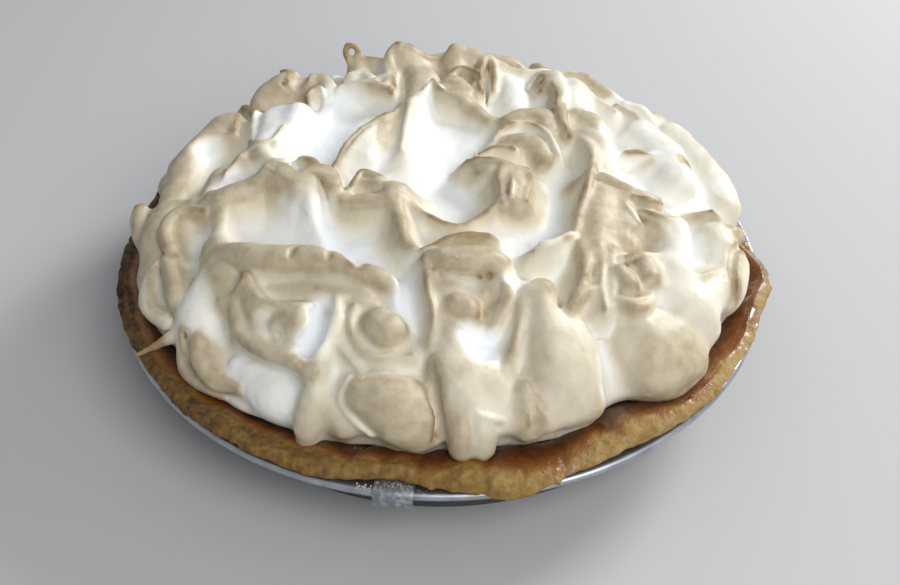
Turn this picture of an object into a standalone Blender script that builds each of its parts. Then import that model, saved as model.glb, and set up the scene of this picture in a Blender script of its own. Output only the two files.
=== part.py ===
"""Key lime meringue pie in the shallow metal tin that it was baked in.

Four pieces share one frame: the tin, a metal tab folded over its rim, the pastry crust
with the hidden filling under it (one solid, because the pie is uncut), and the meringue.
The origin is the centre of the tin's underside. +Z is up and -Y is the front.
Sizes are in millimetres, and MM turns them into metres. Azimuths are in degrees, from +X
towards +Y.
"""
import math

import bmesh
import bpy
import numpy as np

MM = 0.001
GAP = 0.4                      # clearance between touching pieces

# Tin: a flat base, a sloping wall, a flat flange and a rolled bead.
TIN_RADIUS = 121.0             # to the outside of the bead
TIN_HEIGHT = 31.0              # to the top of the flange
TIN_METAL = 0.6
TIN_BASE_RADIUS = 100.0
TIN_CORNER = 4.0               # bend between base and wall
TIN_WALL_RADIUS = 113.0        # inside, where the wall meets the flange
BEAD_RADIUS = 1.5
TIN_STEPS = 72

# Tab: a strip of the same metal, folded over the bead.
TAB_AZIMUTH = 262.9
TAB_WIDTH = 13.0
TAB_DROP = 5.0                 # how far it hangs below the flange
TAB_METAL = 0.5

# Crust: an uneven hand-pressed edge that lies over the flange.
CRUST_STEPS = 120
CRUST_EDGE = 120.6
CRUST_CREST = 37.0
CRUST_BED = 33.0               # the level that the meringue lies on
CRUST_WIDTH = 10.0             # least width of the raised edge
# Each swell: azimuth, half width in degrees, and height.
EDGE_SWELLS = [
    (190, 20, 1.6), (226, 10, 0.7), (244, 6, 0.9), (262.5, 6, -3.6), (281, 7, 3.6),
    (301, 6, -1.2), (319, 7, 0.8), (336, 6, 0.9), (351, 6, 3.8), (8, 10, -6.0),
    (33, 10, 0.8), (61, 9, -1.0), (87, 12, 0.9), (118, 10, -0.8), (147, 11, 1.0),
]
CREST_SWELLS = [
    (197, 18, -1.5), (231, 8, 0.8), (252, 7, 0.6), (272, 6, 0.9), (286, 5, -1.0),
    (309, 8, 0.7), (333, 7, -0.8), (350, 7, 0.6), (7, 10, -2.4), (45, 9, 0.7),
    (75, 8, -0.6), (105, 9, 0.8), (135, 9, -0.5), (162, 8, 0.7),
]
FLAP_AZIMUTH = 281.0           # a tongue of dough that hangs over the bead
FLAP_HALF_WIDTH = 6.0
FLAP_DROP = 3.4

# Meringue: a domed heap, spooned into troughs and swept up into ridges and peaks.
DOME_CENTRE = (0.0, 3.0)
DOME_RADIUS = 112.0
DOME_FOOT = 34.0               # level of the foot of the dome
DOME_RISE = 37.0
DOME_ROUND_R = 2.5             # exponents of the rounded outline
DOME_ROUND_Z = 2.1
TROUGH_DEPTH = 5.0             # the smooth ground lies this far under the dome
FOOT_SWELLS = [
    (270, 16, -3.0), (304, 8, -5.0), (317, 7, 5.0), (196, 14, 5.0), (355, 14, 4.0),
    (235, 10, 1.0),
]
MERINGUE_CELLS = 52            # cells across the sheet that is laid over the heap
SHEET_STIFFNESS = 0.35         # how far each of its points gives way to its neighbours
STROKE_LIFT = 2.0              # usual height of a stroke's middle over the dome
SPAN_STEPS = 3                 # straight pieces between two points of a stroke
SEARCH_TOP = 20.0
SEARCH_DEPTH = -13.0
SEARCH_STEP = 0.75


# --- Strokes of the spoon ---------------------------------------------------------------
# A stroke is a ball swept along a smooth curve. Its points (u, v) or (u, v, lift) lie on
# the unrolled dome: u to the right, v to the back, both measured along the surface from
# the crown, and lift outwards. Blend is how softly the stroke melts into the rest, and
# flare is how much wider it grows for each millimetre that it goes down.

def roll(radii, points, blend=2.5, flare=0.15):
    """A fat fold with crisp creases along its sides."""
    return (1, radii, points, blend, flare)


def crest(radii, points, blend=7.0, flare=0.8):
    """A sharp ridge whose hollow flanks run out into the ground."""
    return (1, radii, points, blend, flare)


def lobe(radii, points, blend=6.0, flare=0.4):
    """A broad, round swelling."""
    return (1, radii, points, blend, flare)


def dish(radii, points, blend=5.0):
    """A smooth hollow, scooped out."""
    return (-1, radii, points, blend, 0.0)


BACK_LEFT = [
    lobe((7, 9, 9, 8, 6), [(-108, 2, 0), (-104, 26, 0), (-97, 41, 0), (-87, 46, 1), (-79, 40, 0)]),
    dish((6, 8), [(-93, 26, 5), (-92, 14, 6)], 6),
    lobe((9, 10, 9), [(-64, 55, 1), (-62, 42, 0), (-63, 32, -2)], 4),
    roll((5, 7, 6), [(-77, 58, 2), (-68, 63, 3), (-60, 62, 3)], 3),
    roll((3, 4, 4, 3), [(-61, 70, 2), (-54, 71, 3), (-46, 65, 3), (-43, 58, 1)], 4),
    roll((4, 4, 3), [(-72, 23, 2), (-66, 21, 2), (-61, 20, 4)], 3),
    roll((3, 3, 3, 2.5), [(-60, 20, 3), (-57, 13, 3), (-59, 5, 2), (-65, 2, 1)], 4),
    crest((3, 2, 2, 2), [(-66, 14, 2), (-72, 13, 4), (-80, 1, 5), (-84, -9, 3)], 8),
    roll((2.5, 3, 2.5), [(-57, 1, 3), (-50, 1, 4), (-44, -8, 1)], 4),
    dish((6, 7), [(-72, 0, 4), (-77, -8, 4)]),
]
LEFT = [
    crest((4, 5, 4.5, 4), [(-83, -13), (-74, -14), (-60, -11, 3), (-46, -12, 1)], 6),
    crest((4, 4, 3), [(-46, -14), (-45, -28, 1), (-41, -40, -1)], 8),
    crest((4, 4, 4), [(-79, -18), (-76, -30, 1), (-74, -42)], 6),
    dish((8, 10, 8), [(-64, -32, 9), (-55, -36, 9), (-44, -44, 8)], 8),
    dish((4.5, 5, 4), [(-88, -26, 4), (-86, -38, 4), (-86, -50, 4)], 6),
    roll((2.5, 3.5, 3), [(-90, -21, 3), (-96, -32, 3), (-92, -43)], 4),
    roll((3, 5, 3.5), [(-102, -44, 1), (-101, -53, 1), (-97, -62, 0)], 1.5),
    lobe((7, 8, 8), [(-104, -8, 0), (-106, -20, -1), (-107, -34, -2)], 5),
    roll((5, 3.5, 2.5, 1.6), [(-113, -22, -1), (-114, -14, 1), (-114, -10, 4), (-112, -8, 8)], 3),
    lobe((6, 8, 7), [(-84, -56, 0), (-86, -66, 0), (-90, -72, -2)], 8),
    roll((3.5, 2.5, 1.6), [(-96, -66, 0), (-103, -66, 2), (-110, -66, 6)], 3),
]
FRONT_LEFT = [
    roll((5, 6, 6, 6, 4.5, 2.5), [(-74, -45), (-62, -51, 2), (-47, -55, 3), (-32, -58, 3),
                                  (-22, -63), (-12, -69, 0)], 2),
    crest((1.5, 2.5, 3), [(-64, -60, 6), (-69, -67), (-68, -77, 0)], 5),
    roll((1.5, 3, 4), [(-64, -59, 6), (-58, -70, 4), (-49, -78)], 4),
    roll((3.5, 5, 4.5, 3.5), [(-61, -68), (-58, -81), (-50, -89), (-41, -96)], 2),
    roll((7, 8), [(-47, -77, 1), (-45, -82, 1)]),
    crest((2.5, 5, 5), [(-39, -94, 1), (-41, -104, 0), (-46, -114, -1)], 3),
    crest((3, 5, 3), [(-74, -71), (-81, -81, 1), (-70, -95, -1)], 3),
    crest((3, 3), [(-85, -72, 1), (-87, -86, 0)], 4),
    dish((8, 9, 7), [(-64, -84, 7), (-62, -94, 7), (-63, -101, 6)], 8),
]
CENTRE = [
    dish((10, 13, 12, 9), [(2, 32, 12), (3, 12, 11), (3, -8, 10), (5, -22, 11)], 10),
    crest((2, 2, 2.5), [(-14, -20, 1), (4, -35, -1), (21, -23)]),
    dish((8, 9, 8), [(-34, -30, 7), (-33, -40, 7), (-26, -50, 7)], 6),
    crest((2.5, 2, 3.5), [(-33, -20, 1), (-28, -11, 3), (-14, -19)], 5),
    crest((4, 3, 2.5), [(-16, -22), (-15, -35), (-6, -53, 1)], 6),
    crest((3, 3), [(-16, -57), (-12, -72, 0)], 4),
    dish((3.5, 4, 3.5), [(-8, -58, 6), (-8, -74, 5), (-8, -90, 5)], 4),
    crest((3, 4, 3, 2.5), [(-4, -53, 3), (9, -50, 4), (24, -50, 3), (44, -41)], 6),
    roll((4.5, 6.5, 5), [(-1, -56, 3), (8, -58, 3), (19, -57)], 1.5),
    lobe((7, 7), [(5, -70, 1), (11, -70, 1)], 3),
    crest((3, 3, 2.5), [(-3, -63, 3), (-2, -74, 3), (-3, -88, 1)], 3),
    roll((2, 3, 2.5), [(17, -61, 3), (19, -71, 4), (13, -83, 1)], 3),
    lobe((8, 9, 8), [(6, -88, -2), (8, -95, -1), (10, -99, -1)], 4),
]
FRONT = [
    roll((8, 8.5), [(-20, -80, 1), (-17, -83, 1)]),
    crest((2, 2.5, 2), [(-27, -76), (-26, -91, 0), (-10, -92, 0)], 3),
    lobe((9, 11, 11), [(-20, -100, -2), (-15, -107, -2), (-9, -110, -4)], 4),
    lobe((6, 6), [(-37, -104, -1), (-32, -111, -3)], 3),
    roll((4, 5, 4.5), [(4, -104, 0), (5, -112, 1), (7, -120, 0)], 2),
    roll((4, 5.5, 5), [(13, -107, 0), (14, -113, 1), (14, -120, 0)], 2),
    lobe((8, 10, 9), [(36, -84, -1), (37, -94, -1), (35, -104, -2)]),
    lobe((6, 7, 6), [(25, -112, -1), (33, -112, -2), (40, -108, -3)], 2.5),
    crest((3, 2.5), [(27, -70), (20, -94, 0)], 6),
    lobe((2.5, 6, 8), [(27, -66, 4), (32, -77, 0), (42, -92, -1)], 5),
    lobe((8, 12, 11, 8), [(68, -74, -2), (78, -82, -4), (82, -88, -6), (76, -93, -5)], 4),
    dish((4, 5, 5), [(57, -74, 4), (58, -84, 5), (60, -96, 5)], 6),
    lobe((6, 8, 8), [(48, -84, -1), (50, -95, -1), (52, -104, -3)]),
    roll((2, 3.5), [(50, -64), (42, -73)], 2),
    roll((2.5, 3, 2.5), [(42, -44, 3), (44, -53, 4), (37, -62, 1)], 4),
]
RIGHT = [
    dish((6, 8, 8, 6), [(35, 8, 7), (38, -10, 7), (37, -28, 7), (26, -42, 6)], 8),
    crest((2, 2.5, 2), [(52, 22, 3), (54, 0, 3), (49, -30, 1)], 6),
    lobe((6, 8, 6), [(57, -14, 0), (59, -32, 0), (66, -48, -1)], 5),
    roll((3.5, 4, 3), [(54, -12, 4), (67, -13, 4), (80, -15, 3)], 3),
    dish((3, 4, 3.5), [(67, -34, 7), (71, -40, 7), (72, -46, 6)], 3),
    roll((2, 3, 2.5), [(62, -50, 3), (60, -58, 3), (69, -62, 3)]),
    roll((2.5, 3.5, 2.5), [(66, -48, 4), (74, -47, 4), (77, -53, 3)]),
    lobe((7, 8, 8), [(84, -28, 0), (83, -40, 0), (80, -48, 0)]),
    dish((5, 5.5, 5), [(90, -8, 6), (93, -22, 6), (88, -42, 6)], 6),
    lobe((8, 10, 10, 8), [(103, -22, -1), (107, -32, -2), (104, -44, -2), (96, -50, -2)], 5),
    lobe((7, 9, 8), [(82, -56, -1), (90, -60, -2), (97, -63, -4)], 4),
    roll((4, 5), [(112, -12, 1), (108, -18, 0)], 3),
]
BACK_RIGHT = [
    lobe((8, 9, 9), [(62, 30, -1), (66, 16, -1), (66, 2, -1)]),
    lobe((8, 9, 9), [(78, 44, -1), (88, 30, -1), (93, 14, -1)]),
    lobe((7, 8, 8, 7), [(95, 52, 0), (104, 40, 0), (110, 22, 0), (112, 4, 0)], 5),
    dish((5, 6), [(72, 4, 6), (80, 0, 6)]),
    roll((3, 4, 3), [(80, 62, 3), (84, 58, 3), (88, 53)], 2),
    lobe((7, 6, 4.5), [(66, 62, 1), (60, 70, 4), (57, 76, 7)], 4),
    crest((4.5, 4, 3), [(57, 76, 7), (68, 69, 4), (76, 62)], 4),
    roll((3.5, 3, 3, 2.5), [(48, 76, 4), (44, 52, 4), (45, 38, 4), (50, 23, 3)], 3),
    dish((3, 3.5, 3), [(41, 70, 5), (40, 48, 5), (44, 18, 4)], 2.5),
    lobe((7, 7, 6), [(30, 70, 0), (29, 62, 0), (30, 54, -1)], 5),
    roll((3.5, 4, 4), [(23, 26), (28, 28, 3), (33, 24, 3)], 2),
    roll((4.5, 5, 4), [(31, 18), (33, 12), (32, 7, 1)], 3),
    roll((2.5, 3, 2.5), [(30, -4), (25, -12, 3), (28, -23)]),
    roll((3, 3.5, 3), [(34, -6), (32, -13, 3), (29, -20)], 3),
]
BACK = [
    lobe((6, 6, 4), [(-43, 70, 0), (-41, 76, 3), (-40, 79, 6)], 5),
    roll((3, 2.4, 2.4), [(-40, 79, 6), (-41, 80, 10), (-39, 80, 13)], 3),
    crest((2.5, 3), [(-36, 80, 9), (-25, 80, 5)], 4),
    roll((4, 4, 2), [(-38, 70, 3), (-31, 67, 4), (-22, 65, 4)], 2),
    lobe((11, 9, 6, 4), [(-14, 63, -2), (-15, 71, 2), (-17, 77, 6), (-18, 79, 9)], 5),
    crest((4, 4, 3), [(-17, 79, 9), (-10, 79, 5), (-2, 79)], 5),
    lobe((7, 7, 5), [(6, 68, 1), (6, 75, 4), (5, 79, 8)], 4),
    crest((5, 5, 4), [(5, 79, 8), (15, 78, 5), (30, 76)], 4),
    roll((3, 3, 2.5), [(24, 75, 4), (17, 70, 4), (18, 60)]),
    roll((4, 5, 5), [(2, 60), (8, 58, 3), (13, 53)], 3),
    crest((2, 1.8, 1.8), [(-12, 48, 3), (-27, 27, 3), (-39, 3)], 8),
    crest((2, 2, 1.5), [(-13, 48), (-17, 22, 1), (-17, 4, 0)], 8),
    dish((10, 12, 10), [(-40, 46, 9), (-46, 28, 9), (-52, 14, 9)], 8),
]
BACK_FOOT = [
    lobe((8, 10, 9), [(-30, 98, -1), (-20, 106, -2), (-8, 110, -3)]),
    lobe((8, 10), [(28, 98, -1), (33, 108, -3)]),
    roll((4, 5.5, 5, 3), [(-6, 91), (6, 96, 3), (20, 95, 3), (32, 89)]),
    crest((3, 4, 4), [(-44, 88), (-48, 99, 1), (-46, 112, -1)], 4),
    crest((3, 4, 4), [(8, 100, 1), (11, 110, 1), (8, 120, -1)], 4),
    lobe((8, 9, 8), [(56, 86, 0), (62, 94, -1), (62, 102, -3)], 5),
    roll((3, 4, 4, 3), [(44, 86, 3), (42, 97, 3), (48, 108, 1), (54, 112, 0)]),
    lobe((8, 9, 8), [(-66, 82, 0), (-71, 91, -1), (-68, 100, -3)], 5),
    roll((3, 4, 3), [(-84, 68), (-88, 78), (-84, 90, 0)], 3),
    lobe((7, 9, 8), [(-97, 58, 0), (-99, 66, -1), (-94, 78, -3)], 5),
    lobe((6, 8, 7), [(-112, 24, 0), (-110, 42, -1), (-104, 58, -2)], 5),
    dish((5, 7, 6), [(-18, 90, 7), (-34, 92, 7), (-56, 90, 7)]),
    dish((5, 6), [(20, 105, 5), (20, 115, 5)]),
    crest((3, 4, 3), [(72, 78), (82, 84, 1), (80, 96, -1)], 4),
    lobe((7, 9, 7), [(92, 66, 0), (96, 74, -1), (92, 84, -3)], 5),
    roll((3.5, 4, 3), [(96, 60), (105, 50, 3), (111, 38)], 3),
    lobe((7, 8), [(110, 46, -1), (106, 60, -3)], 5),
    roll((3, 2.5, 1.6), [(-58, 96, 1), (-62, 100, 4), (-68, 101, 7)], 4),
]
STROKES = BACK_LEFT + LEFT + FRONT_LEFT + CENTRE + FRONT + RIGHT + BACK_RIGHT + BACK + BACK_FOOT
# Tips that stand out of the heap: (u, v, lift) of each.
TIPS = [(-39, 80, 16.0), (-18, 79, 13.5), (5, 79, 13.5), (-112, -8, 10), (-111, -66, 8), (57, 76, 12)]


# --- Helpers ----------------------------------------------------------------------------

def swell(azimuth, rows):
    """Height at an azimuth (degrees) of smooth bumps given as (azimuth, half width, height)."""
    total = 0.0
    for middle, half_width, height in rows:
        away = (azimuth - middle + 180.0) % 360.0 - 180.0
        total = total + height * np.exp(-(away / half_width) ** 2)
    return total


def polar(radius, azimuth):
    """X and Y of a point given by its radius and its azimuth in degrees."""
    angle = math.radians(azimuth)
    return radius * math.cos(angle), radius * math.sin(angle)


def material(name, colour, roughness, metallic=0.0):
    """A Principled material."""
    made = bpy.data.materials.new(name)
    made.use_nodes = True
    shader = made.node_tree.nodes["Principled BSDF"]
    shader.inputs["Base Color"].default_value = (*colour, 1.0)
    shader.inputs["Roughness"].default_value = roughness
    shader.inputs["Metallic"].default_value = metallic
    return made


def add_object(name, mesh, finish):
    """An object in the pie's collection, shaded smooth except at real corners."""
    made = bpy.data.objects.new(name, mesh)
    collection.objects.link(made)
    mesh.materials.append(finish)
    mesh.shade_smooth()
    mesh.set_sharp_from_angle(angle=math.radians(40))
    return made


def profile_mesh(name, section):
    """A line of edges in the XZ plane through (radius, height) points in millimetres."""
    mesh = bpy.data.meshes.new(name)
    shape = bmesh.new()
    corners = [shape.verts.new((radius * MM, 0.0, height * MM)) for radius, height in section]
    for start, end in zip(corners[:-1], corners[1:]):
        shape.edges.new((start, end))
    shape.to_mesh(mesh)
    shape.free()
    return mesh


def arc(centre, radius, start, end, steps):
    """Points of an arc in a section, from one angle to another in degrees."""
    points = []
    for angle in np.radians(np.linspace(start, end, steps + 1)):
        points.append((centre[0] + radius * math.cos(angle), centre[1] + radius * math.sin(angle)))
    return points


# --- Tin --------------------------------------------------------------------------------

def tin_section():
    """The tin's cut face, from the middle of its floor up the inside and down the outside."""
    bead = (TIN_RADIUS - BEAD_RADIUS, TIN_HEIGHT - BEAD_RADIUS + 0.4)
    inside = [(0.0, TIN_METAL), (TIN_BASE_RADIUS - TIN_CORNER, TIN_METAL)]
    inside += [(TIN_BASE_RADIUS - 0.9, TIN_METAL + 1.0), (TIN_WALL_RADIUS, TIN_HEIGHT)]
    over_bead = arc(bead, BEAD_RADIUS, 110.0, -150.0, 6)
    outside = [(TIN_WALL_RADIUS + TIN_METAL, TIN_HEIGHT - TIN_METAL)]
    outside += [(TIN_BASE_RADIUS, 1.0), (TIN_BASE_RADIUS - TIN_CORNER, 0.0), (0.0, 0.0)]
    return inside + over_bead + outside


def make_tin():
    """A turned pan: the section is carried round the pie's axis."""
    pan = add_object("tin", profile_mesh("tin", tin_section()), tin_metal)
    turn = pan.modifiers.new("turn", "SCREW")
    turn.steps = TIN_STEPS
    turn.render_steps = TIN_STEPS
    turn.use_merge_vertices = True
    turn.merge_threshold = 0.00001
    return pan


# --- Tab --------------------------------------------------------------------------------

def make_tab():
    """A strip that lies on the flange, bends over the bead and hangs down outside it."""
    lift = GAP + TAB_METAL / 2
    route = [(114.6, TIN_HEIGHT + lift), (117.4, TIN_HEIGHT + lift)]
    bead = (TIN_RADIUS - BEAD_RADIUS, TIN_HEIGHT - BEAD_RADIUS + 0.4)
    route += arc(bead, BEAD_RADIUS + lift, 100.0, 0.0, 5)
    route += [(TIN_RADIUS + lift + 0.2, TIN_HEIGHT - TAB_DROP)]
    mesh = profile_mesh("rim_tab", route)
    shape = bmesh.new()
    shape.from_mesh(mesh)
    bmesh.ops.translate(shape, verts=shape.verts, vec=(0.0, -TAB_WIDTH / 2 * MM, 0.0))
    grown = bmesh.ops.extrude_edge_only(shape, edges=shape.edges)
    moved = [part for part in grown["geom"] if isinstance(part, bmesh.types.BMVert)]
    bmesh.ops.translate(shape, verts=moved, vec=(0.0, TAB_WIDTH * MM, 0.0))
    bmesh.ops.recalc_face_normals(shape, faces=shape.faces)
    shape.to_mesh(mesh)
    shape.free()
    strip = add_object("rim_tab", mesh, tin_metal)
    strip.rotation_euler.z = math.radians(TAB_AZIMUTH)
    thicken = strip.modifiers.new("thickness", "SOLIDIFY")
    thicken.thickness = TAB_METAL * MM
    thicken.offset = 0.0
    return strip


# --- Crust ------------------------------------------------------------------------------

def dome_foot(azimuth):
    """Radius of the meringue's foot about the dome's own axis."""
    return DOME_RADIUS + swell(azimuth, FOOT_SWELLS)


def crust_edge(azimuth):
    """Radius of the crust's outer edge about the tin's axis."""
    return CRUST_EDGE + swell(azimuth, EDGE_SWELLS)


def crust_inner(azimuth):
    """Radius at which the raised edge starts, just outside the meringue's foot."""
    x, y = polar(dome_foot(azimuth), azimuth)
    foot = math.hypot(x + DOME_CENTRE[0], y + DOME_CENTRE[1])
    return min(foot + 1.5, crust_edge(azimuth) - CRUST_WIDTH)


def crust_section(azimuth):
    """Cut face of the crust at one azimuth, from under its middle round to its top middle."""
    edge = crust_edge(azimuth)
    inner = crust_inner(azimuth)
    crest_height = CRUST_CREST + swell(azimuth, CREST_SWELLS)
    droop = FLAP_DROP * swell(azimuth, [(FLAP_AZIMUTH, FLAP_HALF_WIDTH, 1.0)])
    over_bead = TIN_HEIGHT + 0.4 + GAP + TAB_METAL + GAP
    lip = max(edge - 0.8, min(edge, TIN_RADIUS + GAP + 0.2)) if droop > 0.8 else edge - 0.8
    floor = TIN_METAL + GAP
    return [
        (0.0, floor),
        (TIN_BASE_RADIUS - TIN_CORNER - 0.6, floor),
        (TIN_BASE_RADIUS - 1.4, floor + 1.2),
        (TIN_WALL_RADIUS - GAP - 0.1, over_bead),
        (min(edge, TIN_RADIUS + GAP + 0.1) - 1.2, over_bead),
        (lip, over_bead - droop),
        (edge, over_bead + 1.6 - droop * 0.8),
        (edge - 0.9, crest_height - 1.6 - droop * 0.4),
        (edge - 3.4, crest_height - 0.2),
        ((edge + inner) / 2 + 0.6, crest_height - 0.6),
        (inner + 1.6, CRUST_BED + 1.4),
        (inner, CRUST_BED),
        (inner - 8.0, CRUST_BED),
        (0.0, CRUST_BED),
    ]


def make_crust():
    """Pastry and filling as one solid: a turned blank whose sections then take their shapes."""
    mesh = profile_mesh("crust", crust_section(0.0))
    shape = bmesh.new()
    shape.from_mesh(mesh)
    shape.verts.ensure_lookup_table()
    rings = [shape.verts[:]]
    bmesh.ops.spin(shape, geom=shape.verts[:] + shape.edges[:], cent=(0, 0, 0), axis=(0, 0, 1),
                   angle=2 * math.pi, steps=CRUST_STEPS, use_merge=False)
    shape.verts.ensure_lookup_table()
    count = len(rings[0])
    for step in range(CRUST_STEPS + 1):
        azimuth = 360.0 * (step % CRUST_STEPS) / CRUST_STEPS
        for index, (radius, height) in enumerate(crust_section(azimuth)):
            x, y = polar(radius, azimuth)
            shape.verts[step * count + index].co = (x * MM, y * MM, height * MM)
    bmesh.ops.remove_doubles(shape, verts=shape.verts, dist=0.00001)
    bmesh.ops.recalc_face_normals(shape, faces=shape.faces)
    shape.to_mesh(mesh)
    shape.free()
    return add_object("crust", mesh, baked_pastry)


# --- Meringue ---------------------------------------------------------------------------

def dome_tables():
    """The dome's outline by distance from the crown: radius, height and outward normal."""
    turn = np.radians(np.linspace(0.0, 90.0, 361))
    radius = DOME_RADIUS * np.sin(turn) ** (2 / DOME_ROUND_R)
    height = DOME_RISE * np.cos(turn) ** (2 / DOME_ROUND_Z)
    walk = np.concatenate([[0.0], np.cumsum(np.hypot(np.diff(radius), np.diff(height)))])
    slope_r = np.gradient(radius, walk)
    slope_z = np.gradient(height, walk)
    length = np.hypot(slope_r, slope_z)
    return walk, radius, height + DOME_FOOT, -slope_z / length, slope_r / length


def on_dome(u, v):
    """Points of the dome, and its normals there, for unrolled places u and v."""
    walk, radius, height, normal_r, normal_z = DOME
    distance = np.hypot(u, v)
    safe = np.maximum(distance, 1e-6)
    ring = np.interp(distance, walk, radius)
    overrun = np.maximum(distance - walk[-1], 0.0)
    out = np.interp(distance, walk, normal_r)
    point = np.stack([DOME_CENTRE[0] + u / safe * ring, DOME_CENTRE[1] + v / safe * ring,
                      np.interp(distance, walk, height) - overrun], axis=-1)
    normal = np.stack([u / safe * out, v / safe * out, np.interp(distance, walk, normal_z)], axis=-1)
    return point, normal


def smooth_curve(points):
    """Points along a Catmull-Rom curve through the rows of an array."""
    before = 2 * points[0] - points[1]
    after = 2 * points[-1] - points[-2]
    padded = np.vstack([before, points, after])
    curve = []
    for first in range(len(points) - 1):
        a, b, c, d = padded[first:first + 4]
        for t in np.arange(SPAN_STEPS) / SPAN_STEPS:
            curve.append(0.5 * (2 * b + (c - a) * t + (2 * a - 5 * b + 4 * c - d) * t ** 2
                                + (3 * b - a - 3 * c + d) * t ** 3))
    curve.append(points[-1])
    return np.array(curve)


def stroke_path(radii, points):
    """Rows of position, ball radius and dome normal along a stroke."""
    places = np.array([point if len(point) == 3 else (*point, STROKE_LIFT) for point in points], float)
    base, normal = on_dome(places[:, 0], places[:, 1])
    middle = base + places[:, 2:3] * normal
    sizes = np.interp(np.linspace(0, 1, len(points)), np.linspace(0, 1, len(radii)), radii)
    return smooth_curve(np.column_stack([middle, sizes, normal]))


def swept_distance(where, path, flare):
    """Signed distance from points to a swept ball that widens downwards by its flare."""
    nearest = np.full(len(where), 1e3)
    for start, end in zip(path[:-1], path[1:]):
        run = end[:3] - start[:3]
        out = start[4:7] + end[4:7]
        out = out / np.linalg.norm(out)
        level_run = run - out * (run @ out) if flare else run
        away = where - start[:3]
        along = np.clip(away @ level_run / (level_run @ level_run + 1e-9), 0.0, 1.0)
        away = away - along[:, None] * run
        size = start[3] + along * (end[3] - start[3])
        below = np.maximum(-(away @ out), 0.0) if flare else 0.0
        side = np.sqrt(np.maximum((away ** 2).sum(axis=1) - below ** 2, 0.0))
        nearest = np.minimum(nearest, side - size - flare * below)
    return nearest


def smooth_union(a, b, blend):
    """The lower of two distances, rounded where they are close."""
    near = np.maximum(blend - np.abs(a - b), 0.0) / blend
    return np.minimum(a, b) - near ** 2 * blend / 4


def ground_distance(where):
    """Signed distance to the smooth heap before it is worked."""
    x = where[:, 0] - DOME_CENTRE[0]
    y = where[:, 1] - DOME_CENTRE[1]
    ring = np.hypot(x, y)
    height = np.maximum(where[:, 2] - DOME_FOOT, 0.0)
    foot = dome_foot(np.degrees(np.arctan2(y, x)))
    across, up = ring / foot, height / DOME_RISE
    level = across ** DOME_ROUND_R + up ** DOME_ROUND_Z - 1
    slope = np.hypot(DOME_ROUND_R * across ** (DOME_ROUND_R - 1) / foot,
                     DOME_ROUND_Z * up ** (DOME_ROUND_Z - 1) / DOME_RISE)
    sink = TROUGH_DEPTH * np.clip((foot - ring) / 18.0, 0, 1) * np.clip(height / 8.0, 0, 1)
    return level / (slope + 1e-3) + sink


def heap_distance(where):
    """Signed distance to the worked meringue."""
    distance = ground_distance(where)
    for sign, radii, points, blend, flare in STROKES:
        path = stroke_path(radii, points)
        reach = path[:, 3].max() + blend + 12.0
        inside = np.all((where > path[:, :3].min(axis=0) - reach)
                        & (where < path[:, :3].max(axis=0) + reach), axis=1)
        stroke = swept_distance(where[inside], path, flare)
        distance[inside] = sign * smooth_union(sign * distance[inside], stroke, blend)
    return distance


def sheet_lift(base, normal):
    """How far along its normal each point of a square sheet moves to lie on the heap."""
    lifts = np.arange(SEARCH_TOP, SEARCH_DEPTH, -SEARCH_STEP)
    samples = base[:, None, :] + lifts[None, :, None] * normal[:, None, :]
    inside = heap_distance(samples.reshape(-1, 3)).reshape(len(base), -1) < 0
    found = np.where(inside.any(axis=1), inside.argmax(axis=1), len(lifts) - 1)
    lift = (lifts[found] + SEARCH_STEP / 2).reshape(MERINGUE_CELLS + 1, MERINGUE_CELLS + 1)
    around = (np.roll(lift, 1, 0) + np.roll(lift, -1, 0) + np.roll(lift, 1, 1) + np.roll(lift, -1, 1)) / 4
    lift[1:-1, 1:-1] += SHEET_STIFFNESS * (around - lift)[1:-1, 1:-1]
    return lift.ravel()


def keep_off_crust(point):
    """Pull a low point of the meringue in behind the crust's raised edge."""
    x, y, z = point
    azimuth = math.degrees(math.atan2(y, x))
    radius = math.hypot(x, y)
    limit = crust_inner(azimuth) - 0.6
    if z < CRUST_CREST + swell(azimuth, CREST_SWELLS) + 0.8 and radius > limit:
        x, y = x * limit / radius, y * limit / radius
    return x, y, max(z, CRUST_BED + GAP)


def pin_tips(points):
    """Move the nearest point of the sheet onto each standing tip."""
    for u, v, lift in TIPS:
        base, normal = on_dome(np.array([float(u)]), np.array([float(v)]))
        tip = (base + lift * normal)[0]
        nearest = np.argmin(((points - tip) ** 2).sum(axis=1))
        points[nearest] = tip


def make_meringue():
    """A square grid laid over the dome as a round sheet, drawn onto the heap and closed below."""
    shape = bmesh.new()
    bmesh.ops.create_grid(shape, x_segments=MERINGUE_CELLS, y_segments=MERINGUE_CELLS, size=1.0)
    square = np.array([vert.co for vert in shape.verts])
    a, b = square[:, 0], square[:, 1]
    u = a * np.sqrt(1 - b ** 2 / 2) * DOME[0][-1]
    v = b * np.sqrt(1 - a ** 2 / 2) * DOME[0][-1]
    base, normal = on_dome(u, v)
    points = base + sheet_lift(base, normal)[:, None] * normal
    pin_tips(points)
    for vert, point in zip(shape.verts, points):
        x, y, z = keep_off_crust(point)
        if vert.is_boundary:
            azimuth = math.degrees(math.atan2(y, x))
            x, y = polar(crust_inner(azimuth) - 2.2, azimuth)
            z = CRUST_BED + GAP
        vert.co = (x * MM, y * MM, z * MM)
    rim = [edge for edge in shape.edges if edge.is_boundary]
    bmesh.ops.contextual_create(shape, geom=rim)
    bmesh.ops.recalc_face_normals(shape, faces=shape.faces)
    mesh = bpy.data.meshes.new("meringue")
    shape.to_mesh(mesh)
    shape.free()
    return add_object("meringue", mesh, toasted_meringue)


# --- The pie ----------------------------------------------------------------------------

for old in list(bpy.data.objects):
    bpy.data.objects.remove(old, do_unlink=True)

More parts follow.
